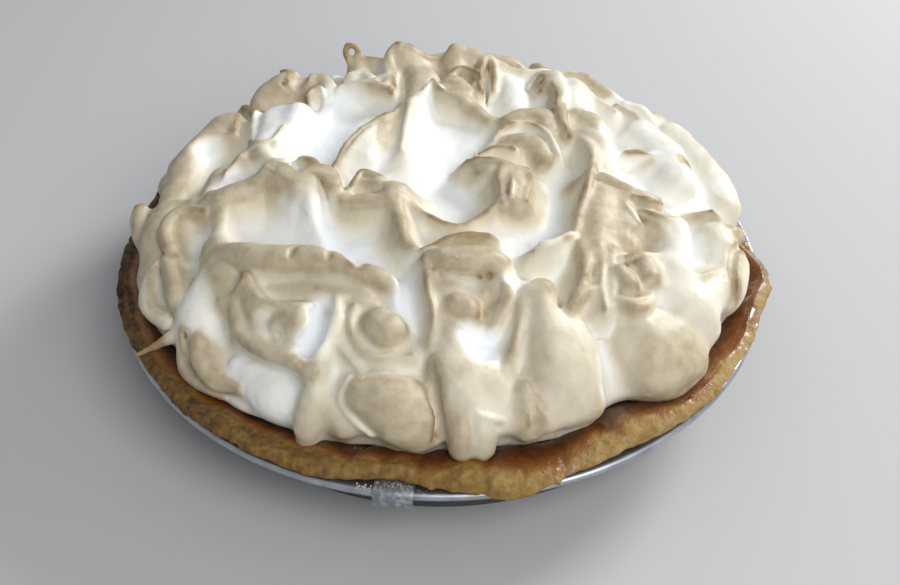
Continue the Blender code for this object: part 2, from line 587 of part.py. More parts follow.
collection = bpy.data.collections.new("key_lime_meringue_pie")
bpy.context.scene.collection.children.link(collection)

tin_metal = material("tin_metal", (0.55, 0.56, 0.58), 0.35, 1.0)
baked_pastry = material("baked_pastry", (0.36, 0.19, 0.07), 0.75)
toasted_meringue = material("toasted_meringue", (0.80, 0.72, 0.58), 0.6)

DOME = dome_tables()
make_tin()
make_tab()
make_crust()
make_meringue()
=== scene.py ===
"""Looks of the key lime meringue pie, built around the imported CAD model.

The meringue is a heap that was spooned into troughs and swept up into ridges and peaks.
Each sweep of the spoon is a stroke in a table. The strokes are joined and scooped on a
fine grid of distances, and the skin of the result becomes the mesh. The crust and the
syrup are rings whose section changes with the azimuth, and the tin is a turned profile.
Lengths are in millimetres, apart from the stage's, and MM turns them into metres. Azimuths
are in degrees, from +X towards +Y. The front of the pie, with the tab on the rim, is -Y.
"""
import math

import bmesh
import bpy
import numpy as np
from mathutils import Matrix, Vector


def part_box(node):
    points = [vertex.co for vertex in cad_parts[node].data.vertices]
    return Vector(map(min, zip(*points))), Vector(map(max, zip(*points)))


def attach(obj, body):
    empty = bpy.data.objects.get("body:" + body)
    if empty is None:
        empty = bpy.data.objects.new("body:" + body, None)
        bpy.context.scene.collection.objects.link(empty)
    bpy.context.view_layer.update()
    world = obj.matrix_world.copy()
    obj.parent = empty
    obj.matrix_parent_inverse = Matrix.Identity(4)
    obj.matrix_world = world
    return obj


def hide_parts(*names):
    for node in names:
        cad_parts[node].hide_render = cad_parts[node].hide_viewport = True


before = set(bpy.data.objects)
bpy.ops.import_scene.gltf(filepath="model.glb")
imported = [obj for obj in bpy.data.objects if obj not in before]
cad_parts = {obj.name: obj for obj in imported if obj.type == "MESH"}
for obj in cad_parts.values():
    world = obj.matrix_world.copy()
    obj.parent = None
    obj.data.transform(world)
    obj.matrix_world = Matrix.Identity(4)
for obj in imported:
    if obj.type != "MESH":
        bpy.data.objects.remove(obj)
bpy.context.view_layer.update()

MM = 0.001


def box_mm(node):
    """Lowest and highest corner of a CAD node, in millimetres."""
    low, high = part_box(node)
    return np.array(low) / MM, np.array(high) / MM


TIN_LOW, TIN_HIGH = box_mm("tin")
CRUST_LOW, CRUST_HIGH = box_mm("crust")
HEAP_LOW, HEAP_HIGH = box_mm("meringue")
TAB_LOW = box_mm("rim_tab")[0]

# Tin, worked out from its CAD box: the rolled bead is the widest and highest part, and the
# flat sides of its CAD outline lie a little inside the true radius.
TIN_METAL = 0.6
BEAD_RADIUS = 1.5
TIN_RADIUS = round(float(TIN_HIGH[1] - TIN_LOW[1]) / 2 + 0.1, 1)
BEAD_TOP = float(TIN_HIGH[2])
FLANGE_LEVEL = BEAD_TOP - 0.4
TIN_WALL_RADIUS = TIN_RADIUS - 8.0
TIN_BASE_RADIUS = TIN_RADIUS - 21.0
TIN_CORNER = 4.0
TIN_STEPS = 256
BEAD_CENTRE = (TIN_RADIUS - BEAD_RADIUS, BEAD_TOP - BEAD_RADIUS)

# Tab: a strip of the same metal, folded over the bead.
TAB_AZIMUTH = 262.9
TAB_WIDTH = 13.0
TAB_METAL = 0.5
TAB_GAP = 0.35
TAB_START = 115.0              # radius of its end under the crust
TAB_BEND = 117.4               # radius at which it starts to rise over the bead
TAB_HANG = 2.0                 # length of its straight end outside the bead
TAB_ROUNDING = 0.12

# Crust.
CRUST_STEPS = 900
CRUST_EDGE = 120.6
CRUST_CREST = 37.0
CRUST_BED = float(HEAP_LOW[2]) - 0.4
CRUST_WIDTH = 10.0
LIT_SIDE = (0.85, -0.2, 0.0)  # towards the side painted lighter as if lit; the far side gets painted shade
CRUST_START = -1.5             # where the raised edge starts, outwards from the meringue's foot
CRUST_RISE = 1.3               # how high it is there already
LIP_LIFT = 1.3                 # of the edge's underside over the bead
LIP_THICKNESS = 1.6
SHOULDER = 3.4                 # from the outer edge in to the start of its level top
FILLING_GAP = 0.5              # between the hidden filling and the tin
FILLING_CORNER = 3.0
# Each swell: azimuth, half width in degrees, and height.
EDGE_SWELLS = [
    (190, 20, 1.6), (226, 10, 0.7), (244, 6, 0.9), (262.5, 6, -3.6), (281, 7, 3.6),
    (301, 6, -1.2), (319, 7, 0.8), (336, 6, 0.9), (351, 6, 3.8), (8, 10, -6.0),
    (33, 10, 0.8), (61, 9, -1.0), (87, 12, 0.9), (118, 10, -0.8), (147, 11, 1.0),
]
CREST_SWELLS = [
    (197, 18, -1.5), (231, 8, 0.8), (252, 7, 0.6), (272, 6, 0.9), (286, 5, -1.0),
    (309, 8, 0.7), (333, 7, -0.8), (350, 7, 0.6), (7, 10, -2.4), (45, 9, 0.7),
    (75, 8, -0.6), (105, 9, 0.8), (135, 9, -0.5), (162, 8, 0.7),
]
# Each seam where dough was pressed over dough: azimuth, width in degrees, step in millimetres.
SEAMS = [(277.4, 0.8, 1.3), (301.0, 1.2, 0.7), (222.0, 1.0, 0.6), (342.0, 1.1, 0.7)]
SEAM_FADE = 5.0                # degrees over which the step fades away again
SEAM_OUT = 0.6                 # share of the step by which the edge also comes out
# Knuckles left by the fingers that pressed the edge: azimuths of the grooves at the front.
FRONT_GROOVES = (230.0, 238.5, 246.0, 254.8, 260.8, 266.0, 271.4, 277.4, 283.0, 290.0, 297.0, 304.0)
GROOVE_STEP = 9.0              # between the grooves on the rest of the edge
GROOVE_SLANT = 0.15            # degrees per millimetre outwards
GROOVE_SWAY = 2.4              # how far, in degrees, they stray from even spacing
GROOVE_MIDDLE = 114.0          # radius at which a slanted groove has its own azimuth
KNUCKLE_HEIGHT = 0.9
KNUCKLES_AZIMUTH = 266.0       # where they are deepest
KNUCKLES_HALF_WIDTH = 34.0
FLAP_AZIMUTH = 282.0
FLAP_HALF_WIDTH = 4.0
FLAP_DROP = 2.2
# Uneven surfaces here and below are sums of noises: height, size of the bumps, and seed.
EDGE_WAVES = [(0.5, 4.5, 11), (0.3, 1.9, 20)]
EDGE_WAVES_RADIUS = 120.0      # of the circle on which the edge's noises are read
EDGE_TEARS = [(1.0, 2.6, 21)]
GROOVE_WAVES = [(0.8, 6.0, 19)]
CRUST_LUMPS = [(0.8, 10.0, 12), (0.35, 4.2, 13)]
CRUST_GRIT = [(0.2, 1.5, 14)]
CRUST_PITS = [(1.0, 2.2, 15)]
TEAR_REACH = 0.9
PIT_DEPTH = 0.7

# Meringue.
DOME_CENTRE = (0.0, 3.0)
DOME_RADIUS = 112.0
DOME_FOOT = CRUST_BED + 1.0
DOME_RISE = 37.0
DOME_ROUND_R = 2.5             # powers of the superellipse that the dome's section follows
DOME_ROUND_Z = 2.1
DOME_STEPS = 361
TROUGH_DEPTH = 6.0
TROUGH_FADE = 18.0             # how far in from the foot troughs go from half to full depth
FOOT_SWELLS = [
    (270, 16, -3.0), (304, 8, -5.0), (317, 7, 5.0), (196, 14, 5.0), (355, 14, 4.0),
    (235, 10, 1.0), (171, 9, -4.0),
]
CELL = 0.7                     # of the distance grid
GRID_MARGIN = 15.0             # of the grid, around the dome
GRID_BELOW = 2.0               # under the crust's bed
GRID_ABOVE = 4.0               # over the CAD box
FLARE_ROOM = 10.0              # how far down a stroke's flare is followed
UNDERSIDE = CRUST_BED + 0.4
STROKE_LIFT = 2.0              # usual height of a stroke's middle over the dome
SPAN_STEPS = 5                 # straight pieces between two points of a stroke
MOST_FACES = 196000
HEAP_GAP = 0.1                 # kept under the top of the CAD box
GROUND_TONE = 0.45
DISH_WHITE_REACH = 2.5         # how far past its own surface a hollow whitens the meringue
NEAR_REACH = 5.0               # half width of the cubes whose share of open space browns
FAR_REACH = 12.0
BASE_TOAST = 0.85
NEAR_WEIGHT = 1.1
FAR_WEIGHT = 0.8
# Sharp folds are browned further: toasting on thin edges and painted shade in creases.
FOLD_REACH = 2.1               # half width of the cubes that show sharp folds
FOLD_TOAST_AND_SHADE = 0.35
FOLD_SHARPNESS = (0.08, 0.25)  # where a fold starts to darken with toasting and painted shade, and where it is darkest
MOST_SURFACE_TOAST = 0.84      # only sharp folds, with their painted shade, are browner
TOAST_PATCHES = [(0.12, 14.0, 31), (0.08, 5.0, 32)]
FOAM_LUMPS = [(0.16, 3.2, 7), (0.10, 1.7, 8)]
FOAM_SHIFTS = [(1.1, 17.0, 1), (0.45, 7.0, 4)]

# Syrup.
SOAK_REACH = 5.5               # how far it soaked the crust, from the crust's inner edge
SOAK_SWELLS = [
    (222, 10, 2.0), (247, 5, 2.0), (254.8, 2, 5.0), (261, 1.5, 5.0), (268.8, 3.2, 11.0), (276, 4, 3.0),
    (281, 3, 9.0), (287.5, 3.5, 11.0), (293.5, 3, 8.0), (300.5, 2.5, 10.0), (308, 4.5, 7.0), (318, 5, 3.0),
    (330, 5, 5.0), (341, 6, 6.0), (354, 6, 5.0),
]
SOAK_WAVES = [(0.25, 7.0, 16), (0.12, 2.5, 17)]
SYRUP_FIRST_STEP = 20          # point of the crust's section at which the film starts
SYRUP_DEPTH = 1.0
SYRUP_SHORE = 0.5              # how soaked the crust is where the film ends
SYRUP_RIPPLES = [(0.05, 2.2, 18)]
SYRUP_SUNK = 0.15              # how far under the crust's surface the film is still made
SYRUP_SKIN = 0.4

# Crumbs: azimuth, half width in degrees, radius, half width, height, count, size.
PASTRY_CRUMBS = [
    (8, 8, 117.0, 3.0, 31.0, 60, 1.0),
    (10, 6, 115.5, 2.0, 31.4, 20, 1.8),
    (258.3, 1.2, 119.3, 1.4, 31.2, 26, 0.6),
    (263, 3.0, 119.0, 2.0, 31.9, 60, 0.4),
    (272, 16, 119.4, 1.2, 31.2, 40, 0.35),
]
MERINGUE_FLECKS = [
    (240, 3, 109.5, 1.5, 34.0, 8, 1.1),
    (254, 3, 107.5, 1.2, 34.0, 5, 1.0),
    (262, 4, 107.5, 1.0, 34.2, 6, 0.9),
    (290, 5, 110.0, 1.5, 34.6, 8, 0.9),
]

# Screen colours (0 to 255) from the first to the last position of each ramp.
# The meringue's darkest stop lies past the toasting of open surfaces: painted shade, reached in sharp folds
# and in hollows of high tone.
MERINGUE_TINTS = [
    (0.0, (242, 244, 246)), (0.25, (238, 236, 228)), (0.5, (224, 216, 196)), (0.8, (196, 182, 154)),
    (1.0, (152, 130, 94)),
]
# The crust's darkest stop mostly shows painted shade, on the side away from the light.
CRUST_TINTS = [(0.0, (58, 36, 14)), (0.35, (114, 82, 32)), (0.65, (144, 112, 52)), (1.0, (164, 138, 88))]
SYRUP_TINTS = [(0.0, (152, 108, 38)), (0.3, (132, 82, 24)), (0.65, (92, 48, 14)), (1.0, (48, 22, 9))]
# Painted reflection and highlight: the tin's wall is painted dark, as if reflecting dark surroundings, and
# its bead bright.
WALL_TINTS = [(0.3, (58, 61, 67)), (0.7, (90, 94, 101))]
BEAD_TINTS = [(0.3, (158, 162, 168)), (0.7, (196, 199, 204))]
TAB_TINTS = [(0.45, (132, 138, 146)), (0.75, (196, 198, 196))]
CRUMB_TINTS = [(0.2, (176, 160, 124)), (0.8, (226, 218, 194))]
FLECK_TINTS = [(0.2, (232, 228, 216)), (0.8, (246, 246, 244))]
CRUMB_SEED = 41
FLECK_SEED = 42

# Stage, in metres.
PIE_MIDDLE = Vector((0.0, 0.0, 0.04))
FLOOR_SIZE = 6.0
FLOOR_TINT = (0.52, 0.51, 0.50, 1.0)
KEY_PLACE = (0.80, 0.62, 0.62)
KEY_SIZE = 0.4
KEY_POWER = 11.2
KEY_TINT = (0.96, 0.98, 1.0)
FILL_PLACE = (0.5, -0.8, 0.9)
FILL_SIZE = 0.8
FILL_POWER = 10.0
ROOM_TINT = (0.85, 0.92, 1.0, 1.0)
ROOM_STRENGTH = 0.37
CAMERA_PLACE = (0.003025, -0.376826, 0.331899)
CAMERA_DOWN = 40.31            # degrees below the horizon
LENS = 50.0
SENSOR_WIDTH = 36.0


# --- Strokes of the spoon ---------------------------------------------------------------
# A tone above 1 also paints shade: on hollows, slots and faces turned away from the light.
# A stroke is a ball swept along a smooth curve. It has one radius, or several that are
# spread evenly from its start to its end. Its points (u, v) or (u, v, lift) lie on
# the unrolled dome: u to the right, v to the back, both measured along the surface from
# the crown, and lift outwards. Blend is how softly the stroke melts into the rest, flare
# is how much wider it grows for each millimetre that it goes down, and tone is how deeply
# it is toasted: 0 is white, 1 is tan on open ground, and a sheltered hollow needs more.
# Each kind of stroke is given as (name, sign, radii, points, blend, flare, tone), with a
# sign of 1 for meringue that is added and -1 for a hollow that is scooped out.

def roll(name, radii, points, blend=1.6, flare=0.15, tone=0.9):
    """A fat fold with crisp creases along its sides."""
    return (name, 1, radii, points, blend, flare, tone)


def crest(name, radii, points, blend=3.0, flare=0.7, tone=0.85):
    """A sharp ridge whose hollow flanks run out into the ground."""
    return (name, 1, radii, points, blend, flare, tone)


def lobe(name, radii, points, blend=3.5, flare=0.3, tone=0.75):
    """A broad, round swelling."""
    return (name, 1, radii, points, blend, flare, tone)


def dish(name, radii, points, blend=4.0, tone=0.0):
    """A smooth hollow, scooped out."""
    return (name, -1, radii, points, blend, 0.0, tone)


def crease(name, radii, points, blend=1.5, tone=0.9):
    """A narrow slot, browned by its tone with toasting and painted shade."""
    return (name, -1, radii, points, blend, 0.0, tone)


# Painted shade as well as toasting: the block roll, block slits, block gap and loop pocket have raised tones.
BACK_LEFT = [
    lobe("left mound", (6, 8, 8, 8, 6),
         [(-103, 3, 0), (-99, 26, 0), (-93, 41, 0), (-87, 47, 1), (-80, 43, 0)], tone=1.0),
    dish("left mound dish", (4.5, 5.5, 4.5), [(-91, 28, 4), (-87, 16, 4), (-85, 4, 3)], 4, tone=0.25),
    crest("left mound fold", 1.2, [(-92, 38, 3), (-84, 37, 3), (-77, 41, 2)], 3, tone=0.8),
    lobe("left saddle", (5, 6, 5), [(-85, 8, -3), (-88, -6, -3), (-93, -16, -3)], 5, tone=1.0),
    dish("block gap", (3, 3.5, 3), [(-79, 50, 4), (-78, 38, 3), (-78, 27, 3)], 2, tone=1.0),
    lobe("block", (7, 8, 8), [(-68, 48, -3), (-68, 38, -4), (-68, 27, -4)], 3, tone=0.3),
    lobe("block right", (7, 8, 7), [(-60, 48, -3), (-58, 38, -4), (-60, 30, -5)], 4, tone=0.15),
    crest("block edge", 1.1, [(-75, 51, 4), (-75, 38, 2), (-74, 24, 1)], 2, 0.5, tone=0.3),
    roll("block roll", (6, 8, 8, 6),
         [(-74, 60, 2), (-68, 65, 3), (-60, 68, 3), (-52, 67, 1)], 1.2, tone=1.25),
    crease("block fold", 0.9, [(-76, 53, 6), (-69, 53, 7), (-62, 53, 7)], 0.8, tone=1.0),
    crease("block slit", (1.3, 1.7, 1.3), [(-63, 62, 9), (-61, 57, 7), (-58, 50, 4)], 1.0, tone=1.5),
    crease("block slit two", (1, 1.4, 1), [(-51, 64, 9), (-48, 58, 7), (-45, 51, 4)], 1.0, tone=1.3),
    dish("block hollow", (3, 4, 3), [(-57, 76, 9), (-57, 68, 9), (-58, 61, 8)], 1.5, tone=0.9),
    roll("block arch", (2, 2.5, 3, 2.5),
         [(-53, 79, 3), (-49, 71, 4), (-46, 62, 3), (-45, 54, 1)], 3, tone=0.6),
    roll("block loop", (1.3, 1.3, 1.3, 1.2),
         [(-53, 54, 4), (-51, 57, 5), (-48, 56, 5), (-47, 53, 4)], 1.0, tone=0.7),
    roll("block tip", (1.3, 1.0, 0.6), [(-62, 80, 8), (-64, 81, 10), (-66, 81, 11.5)], 1.5, 0.0, tone=0.5),
    crest("block sill", (1.1, 1.1, 1.1, 0.9), [(-73, 23, 3), (-68, 21, 3), (-64, 22, 3), (-61, 29, 5)], 1.5),
    lobe("fold under block", (5, 6, 5), [(-70, 17, -1), (-66, 11, -1), (-63, 3, -1)], 3, tone=1.0),
    roll("curl under block", (2, 2.2, 2, 1.8, 1.5),
         [(-62, 20, 2), (-58, 17, 3), (-56, 11, 3), (-57, 5, 3), (-61, 0, 2)], 2, tone=0.9),
    crease("curl pit", 0.9, [(-60, 18, 6), (-59.5, 17, 5)], 0.6, tone=1.0),
    crest("S ridge", (1, 1, 1, 0.9, 0.9, 0.9),
          [(-67, 16, 1), (-72, 14, 3), (-76, 8, 4), (-80, 0, 4), (-83, -8, 3), (-87, -15, 2)], 2.5),
    lobe("S cap", 3, [(-74, 10, 1), (-71, 6, 0)], 3, tone=1.0),
    dish("S dish", (5, 6.5, 5), [(-71, -2, 2), (-76, -6, 1), (-80, -11, 1)], 4),
    crest("S sill", (1.1, 1.1, 1.2, 1.1),
          [(-87, -15, 3), (-79, -14, 3), (-70, -12, 3), (-63, -7, 3)], 1.5, tone=0.7),
    roll("loop ridge", (1.4, 1.8, 2, 1.8, 1.5),
         [(-61, 4, 3), (-56, 4, 4), (-50, 2, 4), (-45, -2, 3), (-42, -8, 1)], 2.5, tone=0.5),
    dish("loop pocket", (2.2, 2.8, 2), [(-53, -3, 6), (-48, -5, 6), (-44, -10, 5)], 1.5, tone=1.0),
    roll("pocket ridge", (0.9, 1, 0.8), [(-55, 1, 3), (-55, -3, 4), (-53, -7, 3)], 0.8, tone=0.5),
    crest("white fold", (1.1, 1.2, 1.2), [(-61, -5, 3), (-54, -11, 3), (-51, -22, 1)], 2.5, tone=0.4),
    crease("fold shadow", (1.2, 1.4, 1.2), [(-64, -10, 6), (-60, -14, 5), (-55, -15, 5)], 1.5, tone=1.0),
]
# Painted shade as well as toasting: the tan crest, ear fold and bean slot have tones above 1.
LEFT = [
    crest("tan crest", (4, 5, 4.5, 4.5, 4),
          [(-83, -13), (-74, -14), (-64, -10, 3), (-54, -13, 3), (-46, -12, 1)], 5, tone=1.35),
    crest("pale branch", (4, 4, 3), [(-46, -14), (-45, -28, 1), (-41, -40, -1)], 7, tone=0.45),
    crest("left wall ridge", 4, [(-80, -18), (-78, -30, 1), (-76, -42)], 5),
    dish("basin two", (8, 10, 8), [(-64, -32, 5), (-55, -36, 5), (-44, -44, 4)], 8),
    dish("left trough", (4.5, 5, 4), [(-90, -22, 1), (-88, -33, 1), (-86, -44, 1)], 3),
    roll("crest hump one", (2.6, 3.4, 3.4, 2.4),
         [(-66, -12, 5), (-60, -8, 7), (-54, -11, 7), (-50, -19, 3)], 1.2, tone=1.0),
    roll("crest hump two", (2.2, 3, 3, 2.2),
         [(-48, -11, 5), (-43, -10, 7), (-39, -15, 6), (-37, -23, 2)], 1.2, tone=1.0),
    crest("thin left ridge", 2, [(-82, -38), (-82, -48), (-80, -60, 1)], 6, tone=0.5),
    lobe("left wall", (7, 8, 8), [(-104, -8, 0), (-106, -20, -1), (-107, -34, -2)], 5, tone=0.85),
    lobe("left foot", (7, 7, 6), [(-112, -34, -3), (-108, -48, -3), (-104, -58, -4)], 4, tone=0.8),
    roll("bow ridge", (2, 2.6, 2.8, 2.6, 2),
         [(-85, -20, 4), (-92, -17, 5), (-97, -22, 6), (-97, -30, 6), (-94, -38, 4)], 1.2, tone=0.95),
    roll("ear", (4.5, 5, 4.6, 3.4),
         [(-112, -22, -1), (-113, -15, 2), (-113, -9, 5), (-111, -4, 7)], 2, 0.0, tone=0.95),
    crease("ear fold", (1, 1.3, 1.1), [(-115, -17, 8), (-114, -11, 10), (-110, -6, 11)], 0.8, tone=1.3),
    crest("ear crest", (1.5, 1.8, 1.8), [(-111, -5, 3), (-103, -4, 3), (-93, -8, 2)], 3, tone=0.7),
    lobe("shoulder", (7, 9, 8), [(-83, -56, -1), (-85, -65, -2), (-88, -72, -3)], 5, tone=0.3),
    roll("bean one", (2.6, 3.8, 4, 3),
         [(-100, -38, 4), (-104, -45, 4), (-103, -53, 4), (-98, -61, 2)], 0.8, tone=0.55),
    roll("bean two", (2.6, 3.4, 3.8, 3),
         [(-97, -38, 4), (-94, -46, 4), (-92, -54, 4), (-91, -61, 2)], 0.8, tone=1.0),
    crease("bean slot", (0.9, 1.2, 0.9), [(-99, -42, 8), (-98.5, -49, 8), (-97, -57, 7)], 0.8, tone=1.3),
    roll("spike", (4.6, 2.8, 1.7, 1.0, 0.6),
         [(-91, -67, 0), (-95, -67.5, 2), (-99, -67.5, 5), (-102.5, -67, 9), (-104.5, -66.5, 12.5)],
         2, 0.0, tone=0.6),
]
# Painted shade as well as toasting: the finger ring and finger nick have tones above 1.
FRONT_LEFT = [
    lobe("finger root", (6, 7, 7), [(-78, -43, 0), (-75, -53, 0), (-72, -62, -2)], tone=1.0),
    roll("finger", (4.6, 5.5, 5.6, 5.6, 5.2, 4.2, 2.4),
         [(-74, -45, 3), (-66, -49, 4), (-56, -52, 4.5), (-44, -54, 4.5), (-32, -57, 4.5), (-22, -62, 3),
          (-12, -68, 1)], 1.2, 0.05, tone=1.0),
    crease("finger shadow", (1.2, 1.5, 1.5, 1.3),
           [(-66, -57, 5), (-54, -60.5, 5), (-40, -63, 5), (-27, -67, 4)], 1.5, tone=1.0),
    crease("finger ring", (0.8, 1.1, 1.1, 0.8),
           [(-42, -49, 9), (-47.5, -51, 9.5), (-48, -56, 10), (-43, -59.5, 9)], 0.8, tone=1.1),
    crease("finger slot", (1.2, 1.0), [(-36, -53, 10.5), (-36, -58, 9.5)], 1.0),
    crease("finger nick", (1, 1.2), [(-30, -55, 10), (-26, -60, 8)], 1.2, tone=1.2),
    lobe("under finger", (5, 6, 5), [(-56, -62, -2), (-42, -64, -2), (-28, -68, -2)], tone=0.9),
    lobe("horn mass", (2, 4, 7), [(-64, -60, 5), (-62, -68, 1), (-58, -77, -2)], 3, tone=1.0),
    crest("horn left edge", (1.4, 2, 2.5), [(-64, -59, 7), (-68, -65, 3), (-68, -73)], 3, tone=1.0),
    roll("horn right edge", (1.6, 2.2, 2.4, 2.2, 2),
         [(-64, -59, 7), (-61, -65, 5), (-55, -71, 4), (-48, -72, 3), (-42, -72)]),
    lobe("shelf ball", (6, 7.5), [(-51, -78, 1), (-46, -79, 1)], 1.2, tone=0.85),
    crease("shelf hook", (1.1, 1.1, 0.9), [(-57, -74, 6), (-57, -79, 6), (-52, -82, 6)], 1, tone=0.6),
    roll("shelf edge", (2.5, 3, 3.2, 3.2, 3, 3),
         [(-68, -72), (-64, -79, 3), (-58, -85, 3), (-52, -88, 3), (-46, -91, 3), (-41, -96)], 2, tone=0.7),
    roll("shelf lower", (2, 2.5, 3, 3),
         [(-33, -70), (-34, -79, 3), (-38, -87, 3), (-40, -94, 2)], 2, tone=0.6),
    crease("shelf crack", 0.8, [(-45, -91, 6), (-41, -95, 6)], 0.6),
    dish("shelf white", (3.5, 4.5), [(-39, -75, 2), (-41, -84, 2)], 3),
    crest("drip ridge", (2.5, 4, 5, 4.5),
          [(-40, -94, 1), (-42, -102, 1), (-45, -109, 0), (-48, -115, -1)], 2, tone=0.6),
    lobe("lower left wall", (6, 7, 8, 7),
         [(-72, -88, -5), (-66, -94, -5), (-59, -100, -5), (-52, -104, -5)], 3, tone=0.25),
    roll("lower left skirt", (2, 2.4, 2.4, 2),
         [(-81, -94, -2), (-74, -99, -2), (-66, -103, -2), (-58, -107, -3)], 1.2, tone=0.35),
    crest("sausage", (1.8, 2.6, 3, 2.8, 2),
          [(-82, -69, 2), (-83, -77, 3), (-81, -84, 3), (-77, -90, 2), (-70, -94, 1)], 1.0, 0.3, tone=0.95),
    crest("outer sausage", (2, 2.8, 3, 2.4),
          [(-92, -70, 2), (-92, -78, 2), (-88, -86, 1), (-80, -93, 0)], 1.0, 0.3),
    crease("sausage gap", (1.2, 1.5, 1.2), [(-87, -72, 5), (-87, -80, 5), (-82, -88, 4)], 1, tone=0.9),
]
# Painted shade as well as toasting: the boss roll and boss groove have tones above 1.
CENTRE = [
    dish("central basin", (10, 13, 12, 9), [(3, 28, 7), (4, 12, 7), (4, -8, 6), (6, -22, 6)], 8),
    crest("basin rim", (1.2, 1.2, 1.2, 1.2, 1.5),
          [(-14, -20, 1), (-7, -29, 0), (4, -34, -1), (13, -30, 0), (21, -23)], 4, tone=0.7),
    dish("side basin", (8, 9, 8), [(-34, -32, 4), (-33, -42, 3), (-26, -50, 3)], 6),
    crest("tip edge", (0.9, 1, 1.2, 1.5),
          [(-34, -20, 2), (-31, -13, 4), (-28, -9, 4), (-22, -13, 3)], 1.5, tone=0.9),
    crest("tip crest", (2, 2.5, 2.5), [(-27, -14, 2), (-20, -18, 2), (-13, -19, 1)], 3),
    crest("tan band", (3, 3.5, 3), [(-34, -23, 1), (-26, -24, 1), (-18, -26, 1)], 3, tone=1.0),
    crest("down ridge", (3, 2.4, 2.2, 2), [(-16, -22), (-15, -33), (-13, -43, 1), (-6, -53, 1)], 4),
    crest("valley lip", (1.6, 2, 1.8), [(-14, -62, -1), (-13, -67), (-12, -75, 0)], 3, tone=0.4),
    dish("vertical valley", (3.5, 4.5, 4.5, 4),
         [(-10, -58, 2), (-10, -70, 1), (-9, -80, 1), (-8, -90, 1)], 4),
    roll("boss brow", (1.4, 1.7, 1.7, 1.7, 1.6, 1.4),
         [(-6, -50.5, 3), (3, -45, 3.4), (14, -44, 3.4), (25, -46, 3.4), (35, -46, 3), (44, -41, 2)],
         1.5, 0.2, tone=0.8),
    roll("boss roll", (3.6, 4.8, 5.2, 5, 3.8),
         [(-3, -55, 4), (2, -56.5, 5), (9, -57.5, 5.2), (16, -57.5, 4.4), (21, -59, 2)],
         0.6, 0.05, tone=1.45),
    crease("brow groove", (1.4, 2, 2, 1.5),
           [(0, -50.5, 4), (8, -50.8, 4.5), (18, -51, 4), (27, -52, 3)], 0.8, tone=0.7),
    crease("boss under edge", (1.2, 1.6, 1.6, 1.3),
           [(-1, -61, 2.2), (5, -62.6, 2.8), (12, -63, 2.8), (20, -61.5, 2.2)], 1.0, tone=0.8),
    dish("boss side dish", (3, 3.6, 3), [(27, -52, 5), (33, -53, 5), (38, -51, 4)], 2.5),
    lobe("boss face", (8, 9, 9), [(3, -60, -6), (4, -70, -6), (4, -82, -6)], 4, tone=0.85),
    lobe("boss face right", (7, 8, 7), [(16, -60, -5), (16, -69, -5), (13, -77, -6)], 4, tone=0.9),
    lobe("boss pad", (5, 5.6), [(6.5, -74, 1), (9.5, -75, 1)], 1.5, tone=0.95),
    crease("boss dimple", (1.1, 0.9), [(6.5, -73, 7), (9.5, -73, 7)], 1.0, tone=1.0),
    crest("boss left edge", (1.2, 1.3, 1.3, 1.2),
          [(-6, -56, 5), (-4, -66, 4), (-2, -77, 3), (-4, -88, 1)], 2, 0.5, tone=0.6),
    crease("boss groove", (1.5, 1.9, 1.8, 1.2),
           [(16, -63, 5), (17, -69, 4.5), (15.5, -75, 4), (14, -80, 3.5)], 1.2, tone=1.4),
    crest("boss right frame", (2, 2.3, 2, 1.5),
          [(20, -58, 4), (22, -65, 4), (21, -72, 3), (17, -80, 1)], 2.5, 0.5, tone=0.75),
    lobe("under boss", (9, 10, 11, 10),
         [(3, -88, -5), (5, -95, -5), (7, -102, -5), (8, -108, -6)], 3, tone=0.6),
    lobe("under boss right", (7, 8, 8), [(15, -93, -5), (17, -100, -5), (18, -107, -6)], 4, tone=0.6),
    dish("white gap", (3, 4.4, 3), [(10, -85, 2), (14, -88, 1.5), (18, -86, 2)], 2),
    lobe("boss waist", (4.5, 5.5, 4.5), [(0, -95, -1), (8, -97, -1), (16, -98, -2)], 2.5, tone=0.85),
]
